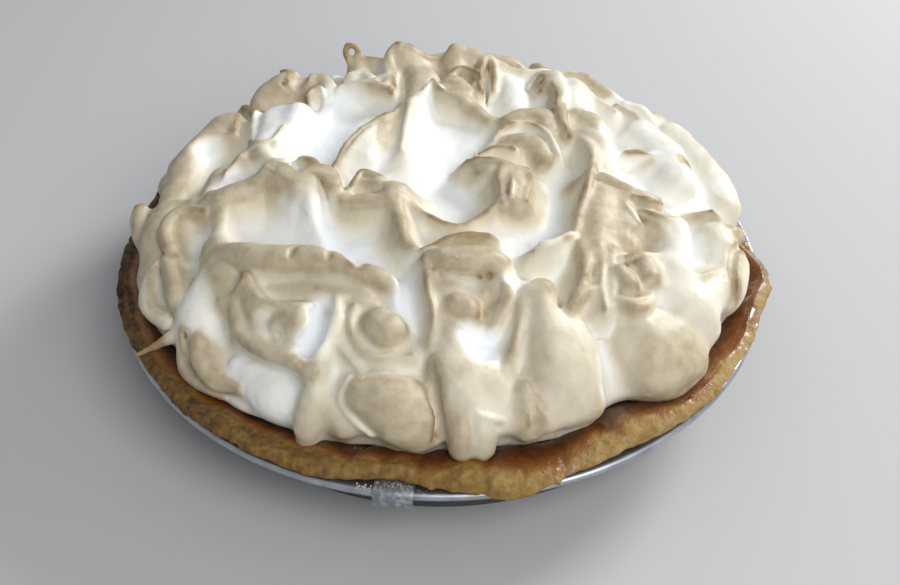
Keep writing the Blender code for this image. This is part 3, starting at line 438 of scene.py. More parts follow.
# Painted shade as well as toasting: the front crease, corner crease and twist groove have tones above 1.
FRONT = [
    lobe("ball slope", (7, 8, 7), [(-24, -78, -5), (-23, -88, -6), (-14, -91, -6)], 4, tone=0.7),
    lobe("front ball", (6, 6.5), [(-20, -80, 1), (-18, -82, 1)], 2.0, tone=1.0),
    crest("ball ring", (1, 1.1, 1.2, 1.2, 1.0),
          [(-28, -74, 3), (-29, -81, 3), (-26, -88, 2), (-19, -92, 2), (-10, -90, 1)], 2.5, tone=0.7),
    crest("ball outer ring", 1, [(-34, -79, 2), (-32, -88, 2), (-26, -95, 1)], 3, tone=0.6),
    lobe("front lobe", (8, 10, 11, 10),
         [(-24, -103, -2), (-17, -105, -2), (-12, -109, -3), (-8, -113, -5)], 2.5, tone=0.85),
    crest("front lobe edge", (0.9, 1, 1, 0.9),
          [(-30, -97), (-32, -103), (-29, -109), (-23, -115, 1)], 1.5, 0.5, tone=0.5),
    lobe("front left lobe", (6, 6.5), [(-38, -105, -3), (-33, -112, -5)], 3),
    crease("front crease", (1.1, 1.8, 2.2, 2),
           [(-5, -95, 2), (-3, -100, 2), (-3, -106, 1), (-1, -117, 1)], 2, tone=1.4),
    roll("drip one", (2.8, 4.2, 4.9, 4.5),
         [(6, -102, -1), (6, -109, 0), (6.5, -115, 1), (7, -121, 0)], 2, tone=0.95),
    roll("drip two", (2.4, 3.8, 4.4, 4.2),
         [(10, -104, -1), (12.5, -110, 0), (14, -115, 1), (14, -120.5, 0)], 2.2, tone=0.6),
    roll("drip fold", (1, 1.2, 1), [(10, -108, 3), (14, -110, 4), (20, -110, 3)], 1.5, tone=0.4),
    crest("front right ridge", (1.6, 1.8, 1.8, 1.6),
          [(27, -65, 3), (26, -75), (24, -86, 1), (21, -95, 0)], 2, tone=0.7),
    lobe("cone top", (4, 4.2), [(28, -67, 1), (33, -67, 1)], 2, tone=0.85),
    lobe("cone lobe", (5, 6, 8, 9),
         [(31, -69, 0), (33, -76, -1), (36, -86, -3), (37, -95, -5)], 3, tone=0.75),
    lobe("front right lobe", (9, 12, 13), [(43, -80, -6), (44, -90, -7), (43, -99, -8)], 4, tone=0.65),
    lobe("corner lobe", (6, 7, 7), [(23, -110, -4), (31, -109, -3), (39, -106, -4)], 3, tone=0.7),
    lobe("corner fold", (3.5, 4.5, 4.5), [(27, -101, -1), (29, -108, -1), (30, -114, -2)], 2, tone=0.8),
    crease("corner crease", (0.8, 1.2, 1), [(29, -104, 3.5), (30.5, -109, 4), (31, -115, 3)], 1.2, tone=1.4),
    lobe("round corner lobe", (6, 7), [(48, -99, -4), (51, -102, -5)], 3, tone=0.65),
    lobe("right dome lobe", (12, 17, 17, 13),
         [(72, -76, -8), (81, -79, -11), (89, -79, -12), (83, -85, -12)], 3, tone=0.8),
    crease("dome valley", (2, 3, 3), [(57, -74, 5), (59, -84, 5), (61, -98, 5)], 4, tone=0.0),
    roll("fold knob", (1.6, 2.2, 2.5), [(50, -63), (45, -67, 2), (42, -73, 1)], 2),
    crest("twist", (1.8, 2.2, 2.2, 1.8),
          [(48, -44, 2), (49, -51, 2), (48, -57, 2), (46, -64, 1)], 2, tone=0.9),
    crease("twist groove", (1.2, 1.7, 1.2), [(44, -44, 5), (45, -51, 4.5), (44.5, -57, 5)], 1.2, tone=1.6),
    crest("S thread", (1, 1.1, 1.1, 1), [(53, -46, 3), (54.5, -54, 3), (53, -62, 3), (54, -70)], 2, tone=0.6),
    crest("S thread two", 1.2, [(59, -46, 3), (58, -57, 3), (57, -68, 1)], 2, tone=0.6),
    dish("streak gap", (2.6, 3.2), [(29, -58, 4), (25, -63, 4)], 4, tone=0.3),
]
# Painted shade as well as toasting: the drape's lobes, the brown pocket and the ball gap have tones above 1.
RIGHT = [
    dish("white valley", (6, 8, 8, 6), [(36, 8, 3), (39, -10, 3), (37, -28, 3), (26, -42, 2)], 6),
    roll("long ridge", (1.4, 1.5, 1.6, 1.5, 1.4, 1.2, 1),
         [(52, 18, 2), (54, 11, 4), (55, 4, 5), (54, -5, 5), (51, -17, 5), (48, -30, 4), (46, -43, 1)],
         2.0, 0.3, tone=0.5),
    crease("ridge line", (0.8, 1, 0.8), [(57, -6, 5), (54.5, -14, 4), (51, -24, 4)], 1, tone=1.0),
    lobe("drape", (6, 7, 7, 7), [(58, -15, -1), (56, -26, -1), (55, -37, -2), (54, -49, -3)], 4, tone=1.5),
    lobe("drape right", (6, 7, 6), [(66, -17, -1), (66, -27, -2), (64, -37, -2)], 4, tone=1.6),
    lobe("drape far", (5, 6.5, 6.5, 5),
         [(73, -14, -1), (76, -22, -1), (76, -31, -2), (74, -38, -3)], 3, tone=1.5),
    crest("drape brow", (1.6, 2, 2, 1.6),
          [(53, -8, 3), (59, -9, 4), (68, -14, 4), (78, -15, 3)], 1.5, tone=1.0),
    crest("valley edge", (1.1, 1.2, 1.1), [(31, -50, 2), (38, -46, 3), (44, -40, 3)], 2, tone=0.5),
    lobe("crinkle body", (4, 5, 5), [(70, -18, 0), (74, -24, 0), (79, -30, 0)], 2, tone=0.9),
    roll("crinkle one", (1.2, 1.5, 1), [(68, -18, 5), (73, -20, 6), (78, -19, 5)], 0.8, tone=1.0),
    crease("crinkle line", (0.9, 1.1, 0.9), [(69, -21, 6), (74, -23, 6), (79, -23, 5)], 0.8, tone=1.0),
    roll("crinkle two", (1.2, 1.4, 1), [(70, -25, 5), (76, -28, 6), (82, -27, 5)], 0.8, tone=0.9),
    roll("white thread", (0.7, 0.8, 0.7), [(65, -22, 5), (67, -27, 5), (69, -31, 4)], 0.8, tone=0.4),
    dish("brown pocket", (2, 2.8, 2.8, 2),
         [(67, -35, 5), (69, -39, 5), (71, -43, 5), (72, -47, 5)], 1.2, tone=1.9),
    lobe("loop body", (6, 7, 6), [(66, -50, -2), (68, -57, -2), (66, -64, -3)], 3),
    roll("pocket sill", (1.2, 1.4, 1.2), [(61, -50, 4), (69, -47, 5), (76, -46, 4)], 1.0, tone=0.6),
    roll("ball left", (4.2, 4.8), [(61, -56, 2), (64, -60, 2)], 1.0, tone=0.9),
    roll("ball right", (3.8, 4.4), [(70, -50, 3), (71, -55, 3)], 0.8, tone=0.9),
    crease("ball gap", (1.4, 1.8, 1.4), [(65.5, -51, 6), (66.5, -56, 7), (67.5, -61, 6)], 0.8, tone=1.7),
    roll("ball chin", (2.6, 3.2, 2.6), [(60, -66, 1), (66, -68, 2), (71, -64, 1)], 1.2, tone=0.8),
    lobe("side dome", (7, 8, 8), [(84, -28, 0), (83, -40, 0), (80, -48, 0)], tone=0.4),
    crest("side streak", (0.9, 1, 0.9), [(77, -30, 3), (79, -40, 4), (77, -50, 3)], 3, tone=0.5),
    dish("side valley", (4.5, 5.5, 5), [(90, -10, 2), (92, -24, 1), (87, -43, 1)], 5),
    lobe("outer lobe", (8, 10, 10, 8),
         [(103, -22, -1), (107, -32, -2), (104, -44, -2), (96, -50, -2)], 4, tone=0.5),
    crest("outer fold", (1.2, 1.5, 1.3), [(99, -12, 4), (104, -16, 4), (108, -23, 4)], 2),
    crease("outer fold line", (0.9, 1, 0.9), [(105, -12, 5), (107, -17, 6), (108, -21, 6)], 0.8, tone=1.0),
    lobe("lower outer lobe", (7, 9, 8), [(82, -56, -1), (90, -60, -2), (97, -63, -4)], 4, tone=0.5),
    crest("outer lobe edge", (1.1, 1.4, 1.4, 1.1),
          [(76, -57, 3), (88, -49, 4), (98, -42, 4), (106, -36, 3)], 1.5, tone=0.7),
    crease("outer seam", (1, 1.4, 1.4, 1),
           [(109, -24, 6), (103, -33, 7), (102, -46, 6), (104, -57, 5)], 1.5, tone=0.8),
    roll("rim ball", (3.6, 4.2), [(112, -14, 3), (107, -18, 4)], 1.0, tone=0.75),
]
# Painted shade as well as toasting: the ribbon trough, groove and pocket, hill dimple, rim hollow, notch and
# knob streaks have tones above 1.
BACK_RIGHT = [
    lobe("plateau", (7, 8, 7, 6), [(54, 72, -2), (54, 60, -1), (52, 48, -1), (52, 38, -2)], 3, tone=0.5),
    roll("S ribbon", (4, 3.7, 3.2, 2.8, 2.4, 1.8),
         [(46.5, 73, 3), (46.5, 60, 4), (46, 47, 4), (45.5, 36, 4), (46, 26, 3), (49, 18, 2)],
         1.5, 0.3, tone=0.5),
    dish("ribbon trough", (2.2, 3, 2.6, 2.2, 1.8),
         [(38, 54, 5), (40, 46, 5), (40.5, 36, 4), (42, 26, 4), (46, 15, 4)], 1.5, tone=1.5),
    lobe("ribbon head", (4.5, 5, 4), [(43, 73, 2), (43, 66, 2), (43, 59, 1)], 1.5, tone=0.9),
    crease("ribbon head groove", (1, 1.5, 1.2), [(38.5, 70, 5), (39, 63, 5), (41, 56, 5)], 1.2, tone=1.4),
    dish("ribbon pocket", (1.6, 2, 1.4), [(50, 35, 6), (51, 30, 6), (52, 25, 5)], 1.0, tone=1.4),
    roll("ribbon hump", (2.5, 3.4, 3.4, 2.6),
         [(51, 20, 2), (56, 18, 3), (61, 12, 2), (64, 4, 0)], 1.8, 0.3, tone=0.7),
    lobe("brown lobe", (5, 6, 5), [(54, 36, 0), (58, 32, 0), (61, 25, -1)], 2.5, tone=0.75),
    dish("white streak", (1.8, 2.4, 2), [(56, 47, 5), (62, 44, 4), (69, 42, 4)], 3),
    crest("plateau fold one", (1, 1.1, 1), [(54, 68, 4), (60, 58, 4), (70, 50, 3)], 3, tone=0.5),
    crest("plateau fold two", (1.1, 1.3, 1.1), [(71, 56, 3), (77, 49, 3), (84, 38, 2)], 3, tone=0.6),
    lobe("right field", (5, 6, 6, 5), [(55, 20, 0), (58, 10, -1), (60, 0, -2), (65, -7, -3)], 3, tone=0.7),
    crest("right field ring", (1, 1.1, 1), [(62, 18, 2), (66, 6, 2), (72, -4, 1)], 4, tone=0.35),
    dish("right white bowl", (5, 6, 5), [(69, 24, 4), (72, 8, 4), (75, -4, 3)], 5),
    roll("crack ridge", (0.8, 0.9, 0.8), [(69, 14, 2), (74, 15.5, 3), (80, 16, 2)], 1.0, tone=0.4),
    crease("crack", 0.9, [(71, 12, 5), (78, 13.5, 5)], 0.8, tone=1.0),
    lobe("right hill", (7, 9, 9), [(80, 38, -2), (87, 24, -2), (89, 6, -2)], 4, tone=0.3),
    crest("hill fold", (1, 1.1, 1), [(80, 12, 2), (85, 13, 3), (91, 9, 3)], 2.5, tone=0.6),
    crease("hill dimple", (1.7, 1.4), [(91, 12, 6), (92, 11, 5)], 1.0, tone=1.6),
    lobe("outer back lobe", (7, 8, 8, 7),
         [(95, 52, 0), (104, 40, 0), (110, 22, 0), (112, 4, 0)], 5, tone=0.45),
    dish("outer back shade", (2, 2.4, 2), [(102, 44, 7), (107, 34, 7), (110, 26, 7)], 3, tone=0.6),
    roll("back pearl", (2.4, 3, 2.6), [(78, 64, 2), (83, 60, 3), (88, 54, 1)], 1.5, tone=0.35),
    crest("back rim", (1.8, 2, 2, 1.8), [(34, 78, 3), (44, 80, 4), (53, 80, 4), (60, 79, 6)], 3, tone=0.5),
    crest("right rim", (1.8, 2.2, 2.2), [(60, 79, 6), (69, 73, 4), (77, 65, 2)], 3, tone=0.2),
    dish("rim hollow", (2.4, 2.8, 2.4), [(54, 76, 6), (60, 74, 7), (66, 69, 6)], 1.5, tone=1.2),
    lobe("back mid lobe", (6, 7, 6), [(27, 70, -2), (29, 60, -4), (30, 50, -6)], 5, tone=0.3),
    dish("notch", (1.6, 1.8), [(37, 66, 5), (40, 64, 5)], 1.2, tone=1.2),
    roll("notch leaf", (0.8, 1, 0.8), [(37, 69, 3), (39, 71, 4), (41, 74, 5)], 1.0, tone=0.5),
    lobe("knob slope", (4, 5, 5, 4), [(26, 32, -2), (33, 35, -1), (39, 33, 0), (41, 25, 0)], 2.5, tone=0.95),
    lobe("knob body", (4, 5, 5, 4), [(24, 17, -2), (30, 16, -1.5), (35, 13, -2), (38, 7, -2)], 3, tone=1.0),
    crest("knob rim", (1, 1.2, 1.2, 1.2, 1.1, 1),
          [(20, 17, 1), (24, 23, 2.5), (30, 26, 3), (36, 23, 3), (40, 16, 3), (43, 7, 1)], 1.5, tone=0.45),
    crease("knob streak", (1, 1.3, 1), [(26, 21, 5.5), (25.5, 15, 5), (24, 9, 4)], 2, tone=1.1),
    crease("knob streak two", (1.1, 1.5, 1.1), [(33, 21, 6), (32.5, 14, 5.5), (31, 7, 4.5)], 2, tone=1.2),
    crest("knob shelf", (1, 1.4, 1.6), [(14, 8, 0), (20, 11, 1), (26, 10, 1)], 2.0, tone=0.7),
    crest("leaf", (0.8, 1, 1.3, 1.4), [(10, 1.5, 1), (15, 0, 3), (21, -2, 3), (29, -5, 3)], 2, tone=0.8),
    roll("leaf sparkle", (0.8, 0.6, 0.5), [(13, 1, 2), (13, 1.5, 4), (13, 2, 5)], 0.6, 0.0, tone=0.3),
    lobe("leaf slope", (3, 3.5, 3), [(15, -4, -1), (21, -7, -1), (26, -10, -1)], 3, tone=0.8),
    lobe("curl body", (5, 6, 5), [(26, -7, -1), (26, -15, -1), (26, -24, -2)], 3, tone=1.0),
    crest("curl left edge", (1.1, 1.3, 1.1), [(24, -4, 3), (20.5, -13, 3), (21, -25, 2)], 2, tone=0.9),
    crease("curl slot", (1, 1.3, 1), [(23.4, -14, 6), (23.2, -18, 5.5), (23.6, -22, 6)], 1, tone=1.4),
    roll("curl thread", (0.7, 0.9, 0.7), [(25.4, -13, 4.5), (25, -18, 5), (24.4, -23, 4.5)], 0.8, tone=0.4),
    crest("curl right edge", (1.1, 1.2, 1), [(31, -5, 3), (32, -13, 3), (30, -24, 2)], 2, tone=0.8),
]
# Painted shade as well as toasting: the cone crease, the hollows of the second peak and arch, the fold groove
# and the brown band have tones above 1.
BACK = [
    lobe("hook base", (4.5, 4.5, 2.5), [(-35, 75, 0), (-36, 79, 3), (-36.5, 80, 7)], 3, tone=0.9),
    roll("hook stem", (2.6, 2.1, 1.5, 1.35, 1.3, 1.2),
         [(-37, 79, 5), (-38.7, 80, 9), (-39.8, 80, 12), (-38.2, 80, 14.9), (-35.6, 80, 14.5),
          (-34.8, 80, 12)], 0.8, 0.0, tone=0.6),
    crest("hook tail", (1.3, 1.3, 1.4, 1.4),
          [(-35.5, 80, 10.5), (-31.5, 80, 8.6), (-26, 80, 6.6), (-22, 80, 4)], 1.5, 0.5),
    roll("hook lump", (3.5, 3.5, 2.5), [(-38, 72, 2), (-33, 73, 2), (-29, 67, 2)], 2, tone=0.4),
    roll("white tip", (1.2, 1.1, 1, 0.9, 0.7),
         [(-31, 64, 3), (-28, 61, 4), (-25, 62, 5), (-21, 61, 5), (-19, 57, 4)], 1.0, tone=0.4),
    roll("hook lower roll", (2.2, 2.4, 2.2, 1.4),
         [(-41, 56, 2), (-34, 57, 4), (-27, 56, 4), (-20, 54, 3)], 1.5, tone=0.6),
    crease("roll shadow", (1.1, 1.3, 1.1), [(-38, 52, 5), (-30, 51, 5), (-22, 50, 4)], 1.5, tone=0.9),
    crest("roll tail", (1.3, 1.3, 1.2), [(-40, 58, 3), (-45, 50, 3), (-50, 42, 1)], 3, tone=0.6),
    crest("cone left ridge", (2.2, 2.2, 2.4, 2.6),
          [(-19, 79, 11), (-21.5, 77, 9), (-22, 69, 5), (-22, 57, 2)], 2, tone=0.5),
    lobe("cone face", (4, 7, 8, 7), [(-15, 79, 6), (-12, 74, 0), (-9, 64, -2), (-9, 54, -4)], 2.5, tone=0.75),
    crease("cone crease", (1.5, 1.8, 1.7, 1.4),
           [(-18.6, 78, 13), (-17.8, 74, 10), (-16.5, 66, 7), (-15.5, 56, 5)], 1.2, tone=1.5),
    crest("cone right slope", (2, 2, 2.2, 2.2),
          [(-17, 79, 11.5), (-13, 79, 10), (-9, 79, 6.5), (-1, 80, 4)], 2.5, tone=0.9),
    crease("saddle nick", (0.9, 1.1, 0.9), [(-5, 79, 8), (-3, 78, 8), (-1, 79, 8)], 0.8, tone=1.0),
    lobe("second peak", (5, 5, 4), [(4, 72, 1), (4, 77, 4), (5, 79, 8)], 2.5, tone=1.0),
    crest("second peak slope", (2.5, 2.5, 2.5, 2.5, 2),
          [(5, 79, 9.5), (9, 79, 8.5), (14, 79, 6.5), (22, 79, 4), (34, 79, 2)], 2.5, tone=0.8),
    dish("second peak hollow", (2, 2.3), [(10, 74, 8), (13, 71, 7)], 1.2, tone=1.5),
    roll("arch", (1.3, 1.5, 1.6, 1.5, 1.2),
         [(2, 60, 5), (6, 66, 6), (11, 65, 6), (14, 61, 6), (15, 56, 5)], 1.0, tone=0.7),
    dish("arch hollow", (2, 2.3, 1.8), [(7, 61, 8), (11, 60, 8), (14, 57, 7)], 1.0, tone=1.5),
    roll("arch pearl", (1.1, 1.2, 1), [(13, 56, 4), (15, 54, 4), (16, 52, 3)], 0.8, tone=0.5),
    roll("tan lump", (4, 4.5, 4), [(0, 56, 0), (4, 57, 2), (10, 52, 0)], 2),
    roll("back fold", (1.5, 1.8, 2, 2, 1.8),
         [(14, 63, 3), (15.5, 73, 5), (18.5, 77, 6), (21, 72, 4), (21, 59, 0)], 2, tone=0.6),
    crease("fold groove", (1.3, 1.6, 1.2), [(18, 71, 7), (17.8, 62, 6), (17.5, 53, 5)], 1.2, tone=1.4),
    crest("leaf tip", (0.9, 1.2, 1.6, 1.8),
          [(-4, 52, 7), (-1, 48, 5), (3, 46, 3), (8, 44, 1)], 1.5, tone=0.8),
    crest("leaf tip side", (0.9, 0.9, 1), [(-4, 52, 7), (-7, 48, 5), (-9, 45, 3)], 1.0, tone=0.2),
    lobe("tan slope", (4, 4, 3), [(6, 48, -1), (12, 42, -2), (18, 34, -3)], 5, tone=0.9),
    crest("diagonal ridge", (0.9, 0.9, 0.9, 0.9, 1, 1, 1),
          [(-41, -2, 0), (-36, 8, 3), (-31, 17, 4), (-27, 23, 4), (-20, 31, 4), (-16, 37, 4), (-13, 45, 4),
           (-9, 47, 3)], 2.5),
    crest("diagonal second", (0.8, 0.9, 0.8), [(-37, 2, 1), (-31, 11, 4), (-26, 19, 4)], 1.5, tone=0.5),
    lobe("tent face", (4, 5, 4), [(-20, 27, -1), (-24, 18, -1), (-28, 8, -2)], 4, tone=0.25),
    dish("brown band", (1.8, 2.2, 2.4, 2),
         [(-14, 43, 6), (-17.5, 32, 6), (-18.5, 18, 5), (-18, 4, 4)], 2.5, tone=1.4),
    crest("diagonal branch", (1.2, 1.3, 1.3, 1.3),
          [(-10, 47, 3), (-12.5, 36, 4), (-14, 22, 3), (-15, 8, 1)], 3, tone=0.4),
    dish("back left field", (10, 12, 10), [(-41, 44, 5), (-46, 28, 5), (-52, 14, 5)], 6),
]
BACK_FOOT = [
    lobe("back lobe one", (8, 10, 9), [(-30, 98, -1), (-20, 106, -2), (-8, 110, -3)]),
    lobe("back lobe two", (8, 10), [(28, 98, -1), (33, 108, -3)]),
    roll("back finger", (4, 5.5, 5, 3), [(-6, 91), (6, 96, 3), (20, 95, 3), (32, 89)], tone=1.0),
    crest("back drip one", (3, 4, 4), [(-44, 88), (-48, 99, 1), (-46, 112, -1)], 4),
    crest("back drip two", (3, 4, 4), [(8, 100, 1), (11, 110, 1), (8, 120, -1)], 4),
    lobe("back lobe three", (8, 9, 8), [(56, 86, 0), (62, 94, -1), (62, 102, -3)], 5),
    roll("back fold one", (3, 4, 4, 3), [(44, 86, 3), (42, 97, 3), (48, 108, 1), (54, 112, 0)]),
    lobe("back lobe four", (8, 9, 8), [(-66, 82, 0), (-71, 91, -1), (-68, 100, -3)], 5),
    roll("back fold two", (3, 4, 3), [(-84, 68), (-88, 78), (-84, 90, 0)], 3),
    lobe("back lobe five", (7, 9, 8), [(-97, 58, 0), (-99, 66, -1), (-94, 78, -3)], 5),
    lobe("back lobe six", (6, 8, 7), [(-112, 24, 0), (-110, 42, -1), (-104, 58, -2)], 5),
    dish("back trough one", (5, 7, 6), [(-18, 90, 7), (-34, 92, 7), (-56, 90, 7)]),
    dish("back trough two", (5, 6), [(20, 105, 5), (20, 115, 5)]),
    crest("back drip three", (3, 4, 3), [(72, 78), (82, 84, 1), (80, 96, -1)], 4),
    lobe("back lobe seven", (7, 9, 7), [(92, 66, 0), (96, 74, -1), (92, 84, -3)], 5),
    roll("back fold three", (3.5, 4, 3), [(96, 60), (105, 50, 3), (111, 38)], 3),
    lobe("back lobe eight", (7, 8), [(110, 46, -1), (106, 60, -3)], 5),
    roll("back tip", (3, 2.5, 1.6), [(-58, 96, 1), (-62, 100, 4), (-68, 101, 7)], 4),
]
STROKES = BACK_LEFT + LEFT + FRONT_LEFT + CENTRE + FRONT + RIGHT + BACK_RIGHT + BACK + BACK_FOOT


# --- Small tools ------------------------------------------------------------------------

def smooth_rise(value, low, high):
    """0 up to low, 1 from high, and an even curve between them."""
    t = np.clip((value - low) / (high - low), 0.0, 1.0)
    return t * t * (3 - 2 * t)


def azimuth_of(points):
    """Azimuths of rows of points, in degrees."""
    return np.degrees(np.arctan2(points[:, 1], points[:, 0]))


def degrees_past(azimuth, middle):
    """How far azimuths lie past another, from -180 to 180 degrees."""
    return (azimuth - middle + 180.0) % 360.0 - 180.0


def swell(azimuth, rows):
    """Sum, at an azimuth, of smooth bumps given as (azimuth, half width, height)."""
    total = 0.0
    for middle, half_width, height in rows:
        total = total + height * np.exp(-(degrees_past(azimuth, middle) / half_width) ** 2)
    return total


def noise(points, size, seed):
    """Smooth random values from -1 to 1 at points, with bumps about size across."""
    table = np.random.default_rng(seed).uniform(-1.0, 1.0, (32, 32, 32))
    place = points / size
    cell = np.floor(place).astype(int)
    part = place - cell
    part = part * part * (3 - 2 * part)
    total = np.zeros(len(points))
    for corner in np.ndindex(2, 2, 2):
        share = np.where(corner, part, 1 - part).prod(axis=1)
        x, y, z = ((cell + corner) % 32).T
        total += share * table[x, y, z]
    return total


def uneven(points, rows):
    """Sum, at points, of noises given as (height, size, seed)."""
    return sum(height * noise(points, size, seed) for height, size, seed in rows)


def uneven_shift(points, rows):
    """Smooth random shifts of points along all three axes, each axis with seeds of its own."""
    shifts = []
    for axis in range(3):
        shifts.append(uneven(points, [(height, size, seed + axis) for height, size, seed in rows]))
    return np.stack(shifts, axis=1)


def smooth_curve(points):
    """Points along a Catmull-Rom curve through the rows of an array."""
    before = 2 * points[0] - points[1]
    after = 2 * points[-1] - points[-2]
    padded = np.concatenate([[before], points, [after]])
    curve = []
    for first in range(len(points) - 1):
        a, b, c, d = padded[first:first + 4]
        for t in np.arange(SPAN_STEPS) / SPAN_STEPS:
            curve.append(0.5 * (2 * b + (c - a) * t + (2 * a - 5 * b + 4 * c - d) * t ** 2
                                + (3 * b - a - 3 * c + d) * t ** 3))
    curve.append(points[-1])
    return np.array(curve)


def new_mesh(name, points, faces):
    """A smooth-shaded mesh from points in millimetres."""
    mesh = bpy.data.meshes.new(name)
    mesh.from_pydata((points * MM).tolist(), [], faces)
    mesh.shade_smooth()
    return mesh


def add_piece(mesh, finish, node=None):
    """Put a mesh in the scene as a piece of the pie, standing for a CAD node if one is given."""
    piece = bpy.data.objects.new(mesh.name, mesh)
    bpy.context.scene.collection.objects.link(piece)
    mesh.materials.append(finish)
    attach(piece, "root")
    if node:
        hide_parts(node)
    return piece


def add_attribute(mesh, name, values):
    """Store one number per vertex for the material to read."""
    attribute = mesh.attributes.new(name, "FLOAT", "POINT")
    attribute.data.foreach_set("value", np.asarray(values, dtype=np.float32))


def ring_faces(turns, length):
    """Quads of a tube of rows that closes round the axis, each row being one section."""
    faces = []
    for turn in range(turns):
        here, there = turn * length, (turn + 1) % turns * length
        for step in range(length - 1):
            faces.append((here + step, there + step, there + step + 1, here + step + 1))
    return faces


def grid_normals(points):
    """Unit normals of a closed ring of sections, as an array of rows by steps by three."""
    around = np.roll(points, -1, axis=0) - np.roll(points, 1, axis=0)
    along = np.gradient(points, axis=1)
    normal = np.cross(around, along)
    return normal / (np.linalg.norm(normal, axis=2, keepdims=True) + 1e-9)


# --- Meringue ---------------------------------------------------------------------------

def dome_tables():
    """The dome's outline by distance from the crown: radius, height and outward normal."""
    turn = np.radians(np.linspace(0.0, 90.0, DOME_STEPS))
    radius = DOME_RADIUS * np.sin(turn) ** (2 / DOME_ROUND_R)
    height = DOME_RISE * np.cos(turn) ** (2 / DOME_ROUND_Z)
    walk = np.concatenate([[0.0], np.cumsum(np.hypot(np.diff(radius), np.diff(height)))])
    slope_r = np.gradient(radius, walk)
    slope_z = np.gradient(height, walk)
    length = np.hypot(slope_r, slope_z)
    return walk, radius, height + DOME_FOOT, -slope_z / length, slope_r / length


DOME = dome_tables()


def on_dome(u, v):
    """Points of the dome, and its normals there, for unrolled places u and v."""
    walk, radius, height, normal_r, normal_z = DOME
    distance = np.hypot(u, v)
    safe = np.maximum(distance, 1e-6)
    ring = np.interp(distance, walk, radius)
    overrun = np.maximum(distance - walk[-1], 0.0)
    out = np.interp(distance, walk, normal_r)
    point = np.stack([DOME_CENTRE[0] + u / safe * ring, DOME_CENTRE[1] + v / safe * ring,
                      np.interp(distance, walk, height) - overrun], axis=-1)
    normal = np.stack([u / safe * out, v / safe * out, np.interp(distance, walk, normal_z)], axis=-1)
    return point, normal


def dome_foot(azimuth):
    """Radius of the meringue's foot about the dome's own axis."""
    return DOME_RADIUS + swell(azimuth, FOOT_SWELLS)


def stroke_path(radii, points):
    """Rows of position, ball radius and dome normal along a stroke."""
    places = np.array([point if len(point) == 3 else (*point, STROKE_LIFT) for point in points], float)
    base, normal = on_dome(places[:, 0], places[:, 1])
    middle = base + places[:, 2:3] * normal
    radii = np.atleast_1d(radii)
    sizes = np.interp(np.linspace(0, 1, len(points)), np.linspace(0, 1, len(radii)), radii)
    return smooth_curve(np.column_stack([middle, sizes, normal]))


def swept_distance(x, y, z, path, flare):
    """Signed distance on a block of the grid to a swept ball that widens downwards by its flare."""
    nearest = np.full(np.broadcast(x, y, z).shape, 1e3, dtype=np.float32)
    for start, end in zip(path[:-1], path[1:]):
        run = end[:3] - start[:3]
        out = start[4:7] + end[4:7]
        out = out / np.linalg.norm(out)
        level_run = run - out * (run @ out) if flare else run
        dx, dy, dz = x - start[0], y - start[1], z - start[2]
        along = (dx * level_run[0] + dy * level_run[1] + dz * level_run[2]) / (level_run @ level_run + 1e-9)
        along = np.clip(along, 0.0, 1.0)
        dx, dy, dz = dx - along * run[0], dy - along * run[1], dz - along * run[2]
        size = start[3] + along * (end[3] - start[3])
        below = np.maximum(-(dx * out[0] + dy * out[1] + dz * out[2]), 0.0) if flare else 0.0
        side = np.sqrt(np.maximum(dx * dx + dy * dy + dz * dz - below ** 2, 0.0))
        gap = side - size - flare * below
        gap = np.where(below > 0, gap / math.hypot(1.0, flare), gap)
        np.minimum(nearest, gap, out=nearest)
    return nearest


def smooth_union(a, b, blend):
    """The lower of two distances, rounded where they are close."""
    near = np.maximum(blend - np.abs(a - b), 0.0) / blend
    return np.minimum(a, b) - near ** 2 * blend / 4


def ground_distance(x, y, z):
    """Signed distance to the smooth heap before it is worked."""
    x, y = x - DOME_CENTRE[0], y - DOME_CENTRE[1]
    ring = np.hypot(x, y)
    height = np.maximum(z - DOME_FOOT, 0.0)
    foot = dome_foot(np.degrees(np.arctan2(y, x)))
    across, up = ring / foot, height / DOME_RISE
    level = across ** DOME_ROUND_R + up ** DOME_ROUND_Z - 1
    slope = np.hypot(DOME_ROUND_R * across ** (DOME_ROUND_R - 1) / foot,
                     DOME_ROUND_Z * up ** (DOME_ROUND_Z - 1) / DOME_RISE)
    sink = TROUGH_DEPTH * (0.5 + 0.5 * np.clip((foot - ring) / TROUGH_FADE, 0, 1))
    return (level / (slope + 1e-3) + sink).astype(np.float32)


def work_heap():
    """The grid's axes, its signed distances to the worked meringue, and its tones."""
    reach = DOME_RADIUS + GRID_MARGIN
    spans = [(middle - reach, middle + reach) for middle in DOME_CENTRE]
    spans.append((CRUST_BED - GRID_BELOW, HEAP_HIGH[2] + GRID_ABOVE))
    axes = [np.arange(low, high, CELL, dtype=np.float32) for low, high in spans]
    x, y, z = np.meshgrid(*axes, indexing="ij", sparse=True)
    distance = ground_distance(x, y, z)
    tone = np.full(distance.shape, GROUND_TONE, dtype=np.float32)
    for name, sign, radii, points, blend, flare, stroke_tone in STROKES:
        path = stroke_path(radii, points)
        margin = path[:, 3].max() + blend + (FLARE_ROOM * max(flare, 0.6) if flare else 1.0)
        low, high = path[:, :3].min(axis=0) - margin, path[:, :3].max(axis=0) + margin
        i, j, k = (slice(*np.searchsorted(axis, ends)) for axis, ends in zip(axes, zip(low, high)))
        if distance[i, j, k].size == 0:
            raise ValueError(f"the stroke {name} misses the heap")
        stroke = swept_distance(x[i], y[:, j], z[:, :, k], path, flare)
        carved = DISH_WHITE_REACH if sign < 0 else 0.0
        share = np.clip(0.5 + 0.5 * (sign * distance[i, j, k] + carved - stroke) / blend, 0.0, 1.0)
        tone[i, j, k] += share * (stroke_tone - tone[i, j, k])
        distance[i, j, k] = sign * smooth_union(sign * distance[i, j, k], stroke, blend)
    return axes, np.maximum(distance, UNDERSIDE - z), tone


